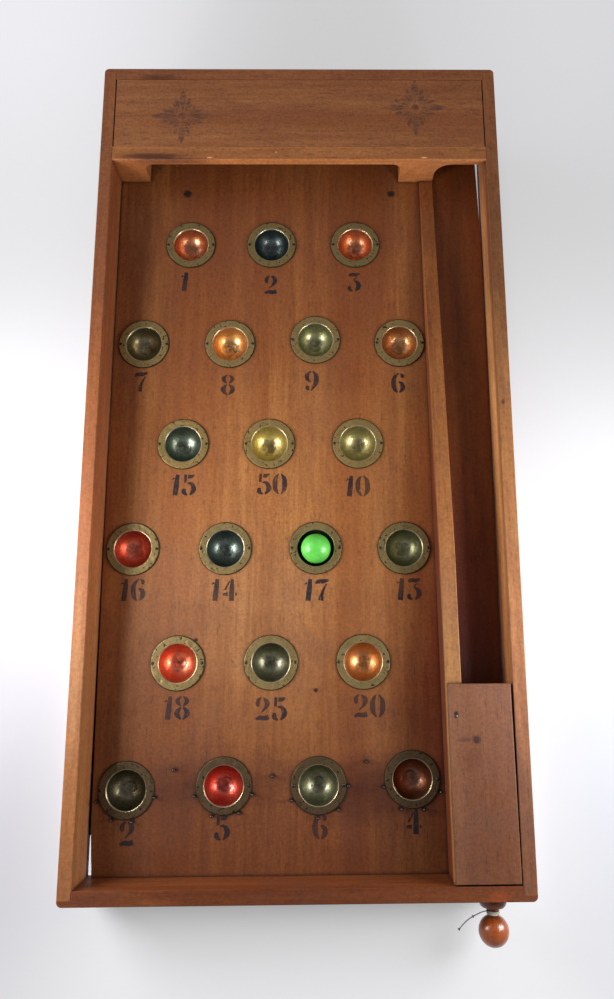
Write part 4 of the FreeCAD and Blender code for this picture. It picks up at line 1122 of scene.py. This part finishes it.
class BAGATELLE_OT_thread(bpy.types.Operator):
    """Wind the thread on the knob's neck and lay its loose, knotted end"""

    bl_idname = "bagatelle.thread"
    bl_label = "Thread"

    def execute(self, context):
        small = context.scene.bagatelle_small
        loose = cotton("loose_thread", darker(small.thread, 0.5), tuple(small.thread))
        path = thread_path()
        tail = new_piece("thread_end", *twisted(path), loose, "plunger", "thread")
        for number, centre in enumerate((path[len(path) // 2], path[-1])):
            verts, faces = [], []
            add_tube(verts, faces, knot_path(centre), KNOT_R)
            new_piece("thread_knot_%d" % (number + 1), verts, faces, loose, "plunger", "thread")
        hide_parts("thread_tail")
        wound = cotton("wound_thread", darker(small.winding, 0.7), tuple(small.winding))
        winding = new_piece("thread_winding", *twisted(winding_path()), wound, "plunger", "thread")
        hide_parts("thread_binding")
        return {"FINISHED"}


# ---- studio
FOCAL = 0.74625  # focal length over the picture's long side
SENSOR = 36.0
SHIFT = (-0.0306, -0.0008)
# The camera's place, and the ways it looks and has on its right, in the case's frame.
EYE = (0.0263, 0.2130, 0.6704)
LOOK = (0.0133, 0.1900, -0.9817)
RIGHT = (0.9999, -0.0078, 0.0121)
FLOOR_REACH = 6.0
PAPER_LIGHT = 0.88  # the plain white that the paper is partly seen as
CEILING = 0.35  # how light the room is overhead, as a share of its sides
CEILING_HEIGHTS = (0.55, 0.95)  # where it starts to darken and is dark, as heights on a round room
CASE_SIDE = 0.19  # how far the paper is hidden by the case each way
CASE_END = 0.37
CASE_EDGE = (0.015, 0.05)  # how far inwards and outwards of that it comes into view
# Painted shade on the paper beside the case's front corners and under the soft boxes, and painted light at
# its head.
PAPER_LIGHT_AND_SHADE = [
    ((-0.30, 0.12, -0.06), (0.19, 0.34, 0.3), 0.9, (0.62, 0.61, 0.64)),
    ((0.32, 0.12, -0.06), (0.18, 0.34, 0.3), 0.9, (0.66, 0.67, 0.70)),
    ((-0.45, 0.27, -0.08), (0.20, 0.32, 0.3), 0.85, (0.66, 0.66, 0.67)),
    ((0.47, 0.20, -0.08), (0.20, 0.32, 0.3), 0.85, (0.66, 0.66, 0.67)),
    ((-0.34, 1.02, -0.11), (0.36, 0.46, 0.3), 0.9, (1.24, 1.24, 1.27)),
    ((0.36, 1.00, -0.11), (0.30, 0.36, 0.3), 0.9, (1.12, 1.12, 1.14)),
]

# Each lamp's place in the case's frame, the place it is turned to, and its width.
LAMPS = {
    "left_soft_box": ((-0.42, 0.26, 0.165), (0, 0.31, FLOOR), 0.25),
    "right_soft_box": ((0.45, 0.19, 0.165), (0, 0.24, FLOOR), 0.25),
    "back_panel": ((-1.10, 1.05, 0.55), (-0.10, 0.60, FLOOR), 0.8),
}


def turned(right, back):
    """A turn that puts X on the first direction as nearly as it can, and Z on the second."""
    up = back.cross(right).normalized()
    return Matrix((up.cross(back), up, back)).transposed().to_4x4()


class BAGATELLE_OT_stage(bpy.types.Operator):
    """Build the pale floor, the lamps and the camera"""

    bl_idname = "bagatelle.stage"
    bl_label = "Studio"

    def execute(self, context):
        studio = context.scene.bagatelle_studio
        context.scene.view_settings.view_transform = "Standard"
        self.build_floor(studio)
        context.scene.world = self.build_world(studio)
        self.build_lamps(studio)
        context.scene.camera = self.build_camera()
        return {"FINISHED"}

    def build_floor(self, studio):
        """White paper that keeps the board's shadow, and is partly plain white to what looks at it."""
        mesh = bpy.data.meshes.new("floor")
        corners = ((-1, -1), (1, -1), (1, 1), (-1, 1))
        mesh.from_pydata([(x * FLOOR_REACH, y * FLOOR_REACH, 0) for x, y in corners], [], [(0, 1, 2, 3)])
        s = Shader("floor_paper")
        # The paper's colour, and its white glow below, carry painted light and shade.
        mesh.materials.append(s.finish(s.stained_and_shaded(tuple(studio.floor), PAPER_LIGHT_AND_SHADE, 0.0), 0.85, specular=0.2))
        rays = s.node("LightPath").outputs
        seen = s.math("MAXIMUM", s.math("MAXIMUM", rays["Is Camera Ray"], rays["Is Glossy Ray"]),
                      rays["Is Transmission Ray"])
        place = s.node("SeparateXYZ", {0: s.node("TexCoord").outputs["Object"]}).outputs
        beside = [s.step(s.math("ABSOLUTE", place[axis]), edge - CASE_EDGE[0], edge + CASE_EDGE[1])
                  for axis, edge in ((0, CASE_SIDE), (1, CASE_END))]
        seen = s.times(seen, s.math("MAXIMUM", *beside))
        glow = s.node("Emission", {"Color": s.stained_and_shaded((1, 1, 1), PAPER_LIGHT_AND_SHADE, 0.0), "Strength": PAPER_LIGHT})
        both = s.node("MixShader", {0: s.times(seen, studio.paper_white),
                                    1: s.tree.nodes["Principled BSDF"].outputs["BSDF"],
                                    2: glow.outputs["Emission"]})
        s.feed(s.tree.nodes["Material Output"], {"Surface": both.outputs["Shader"]})
        floor = placed("floor", mesh)

    def build_world(self, studio):
        """A pale room that is darker overhead than round about."""
        s = Shader("pale_room", "worlds")
        low, high = CEILING_HEIGHTS
        light = s.node("MapRange", {"Value": s.height(s.node("TexCoord").outputs["Generated"]),
                                    "From Min": low, "From Max": high, "To Min": 1.0, "To Max": CEILING})
        s.feed(s.tree.nodes["Background"], {"Color": light.outputs["Result"], "Strength": studio.ambient})
        return s.owner

    def build_lamps(self, studio):
        """Soft boxes low on both sides of the case, and a wide dim panel off beyond its head."""
        for name, (place, aim, width) in LAMPS.items():
            light = bpy.data.lights.new(name, "AREA")
            light.shape = "SQUARE"
            light.size = width
            light.energy = studio.panel_power if name == "back_panel" else studio.lamp_power
            lamp = placed(name, light)
            back = (Vector(place) - Vector(aim)).normalized()
            side = Vector((0, 0, 1)).cross(back).normalized()
            lamp.matrix_world = CASE @ Matrix.Translation(place) @ turned(side, back)
            lamp.visible_camera = False

    def build_camera(self):
        camera = bpy.data.cameras.new("camera")
        camera.sensor_width = SENSOR
        camera.lens = FOCAL * SENSOR
        camera.shift_x, camera.shift_y = SHIFT
        camera.clip_start = 0.01
        made = placed("camera", camera)
        right, back = ((CASE.to_3x3() @ Vector(way)).normalized() for way in (RIGHT, LOOK))
        made.matrix_world = Matrix.Translation(CASE @ Vector(EYE)) @ turned(right, -back)
        return made


class BAGATELLE_PT_panel(bpy.types.Panel):
    """Sizes, colours and the steps that build the finish"""

    bl_idname = "BAGATELLE_PT_panel"
    bl_label = "Bagatelle board"
    bl_space_type = "VIEW_3D"
    bl_region_type = "UI"
    bl_category = "Bagatelle"

    def draw(self, context):
        for group in GROUPS:
            box = self.layout.box()
            settings = getattr(context.scene, group)
            for key in settings.bl_rna.properties.keys():
                if key not in ("rna_type", "name"):
                    box.prop(settings, key)
        for operator in OPERATORS:
            self.layout.operator(operator.bl_idname)


OPERATORS = (BAGATELLE_OT_rails, BAGATELLE_OT_board, BAGATELLE_OT_fascia, BAGATELLE_OT_covers,
             BAGATELLE_OT_inner_parts, BAGATELLE_OT_feet, BAGATELLE_OT_bowls, BAGATELLE_OT_rings,
             BAGATELLE_OT_brads, BAGATELLE_OT_scores, BAGATELLE_OT_stars, BAGATELLE_OT_ball,
             BAGATELLE_OT_knob, BAGATELLE_OT_thread, BAGATELLE_OT_stage)
GROUPS = {"bagatelle_wood": WoodFinish, "bagatelle_cups": CupFinish, "bagatelle_prints": PrintFinish,
          "bagatelle_small": SmallFinish, "bagatelle_studio": StudioSettings}
CLASSES = (*GROUPS.values(), *OPERATORS, BAGATELLE_PT_panel)


def register():
    for made in CLASSES:
        bpy.utils.register_class(made)
    for name, group in GROUPS.items():
        setattr(bpy.types.Scene, name, bpy.props.PointerProperty(type=group))


def unregister():
    for name in GROUPS:
        delattr(bpy.types.Scene, name)
    for made in reversed(CLASSES):
        bpy.utils.unregister_class(made)


def main():
    register()
    for operator in OPERATORS:
        family, name = operator.bl_idname.split(".")
        getattr(getattr(bpy.ops, family), name)()


if __name__ == "__main__":
    main()
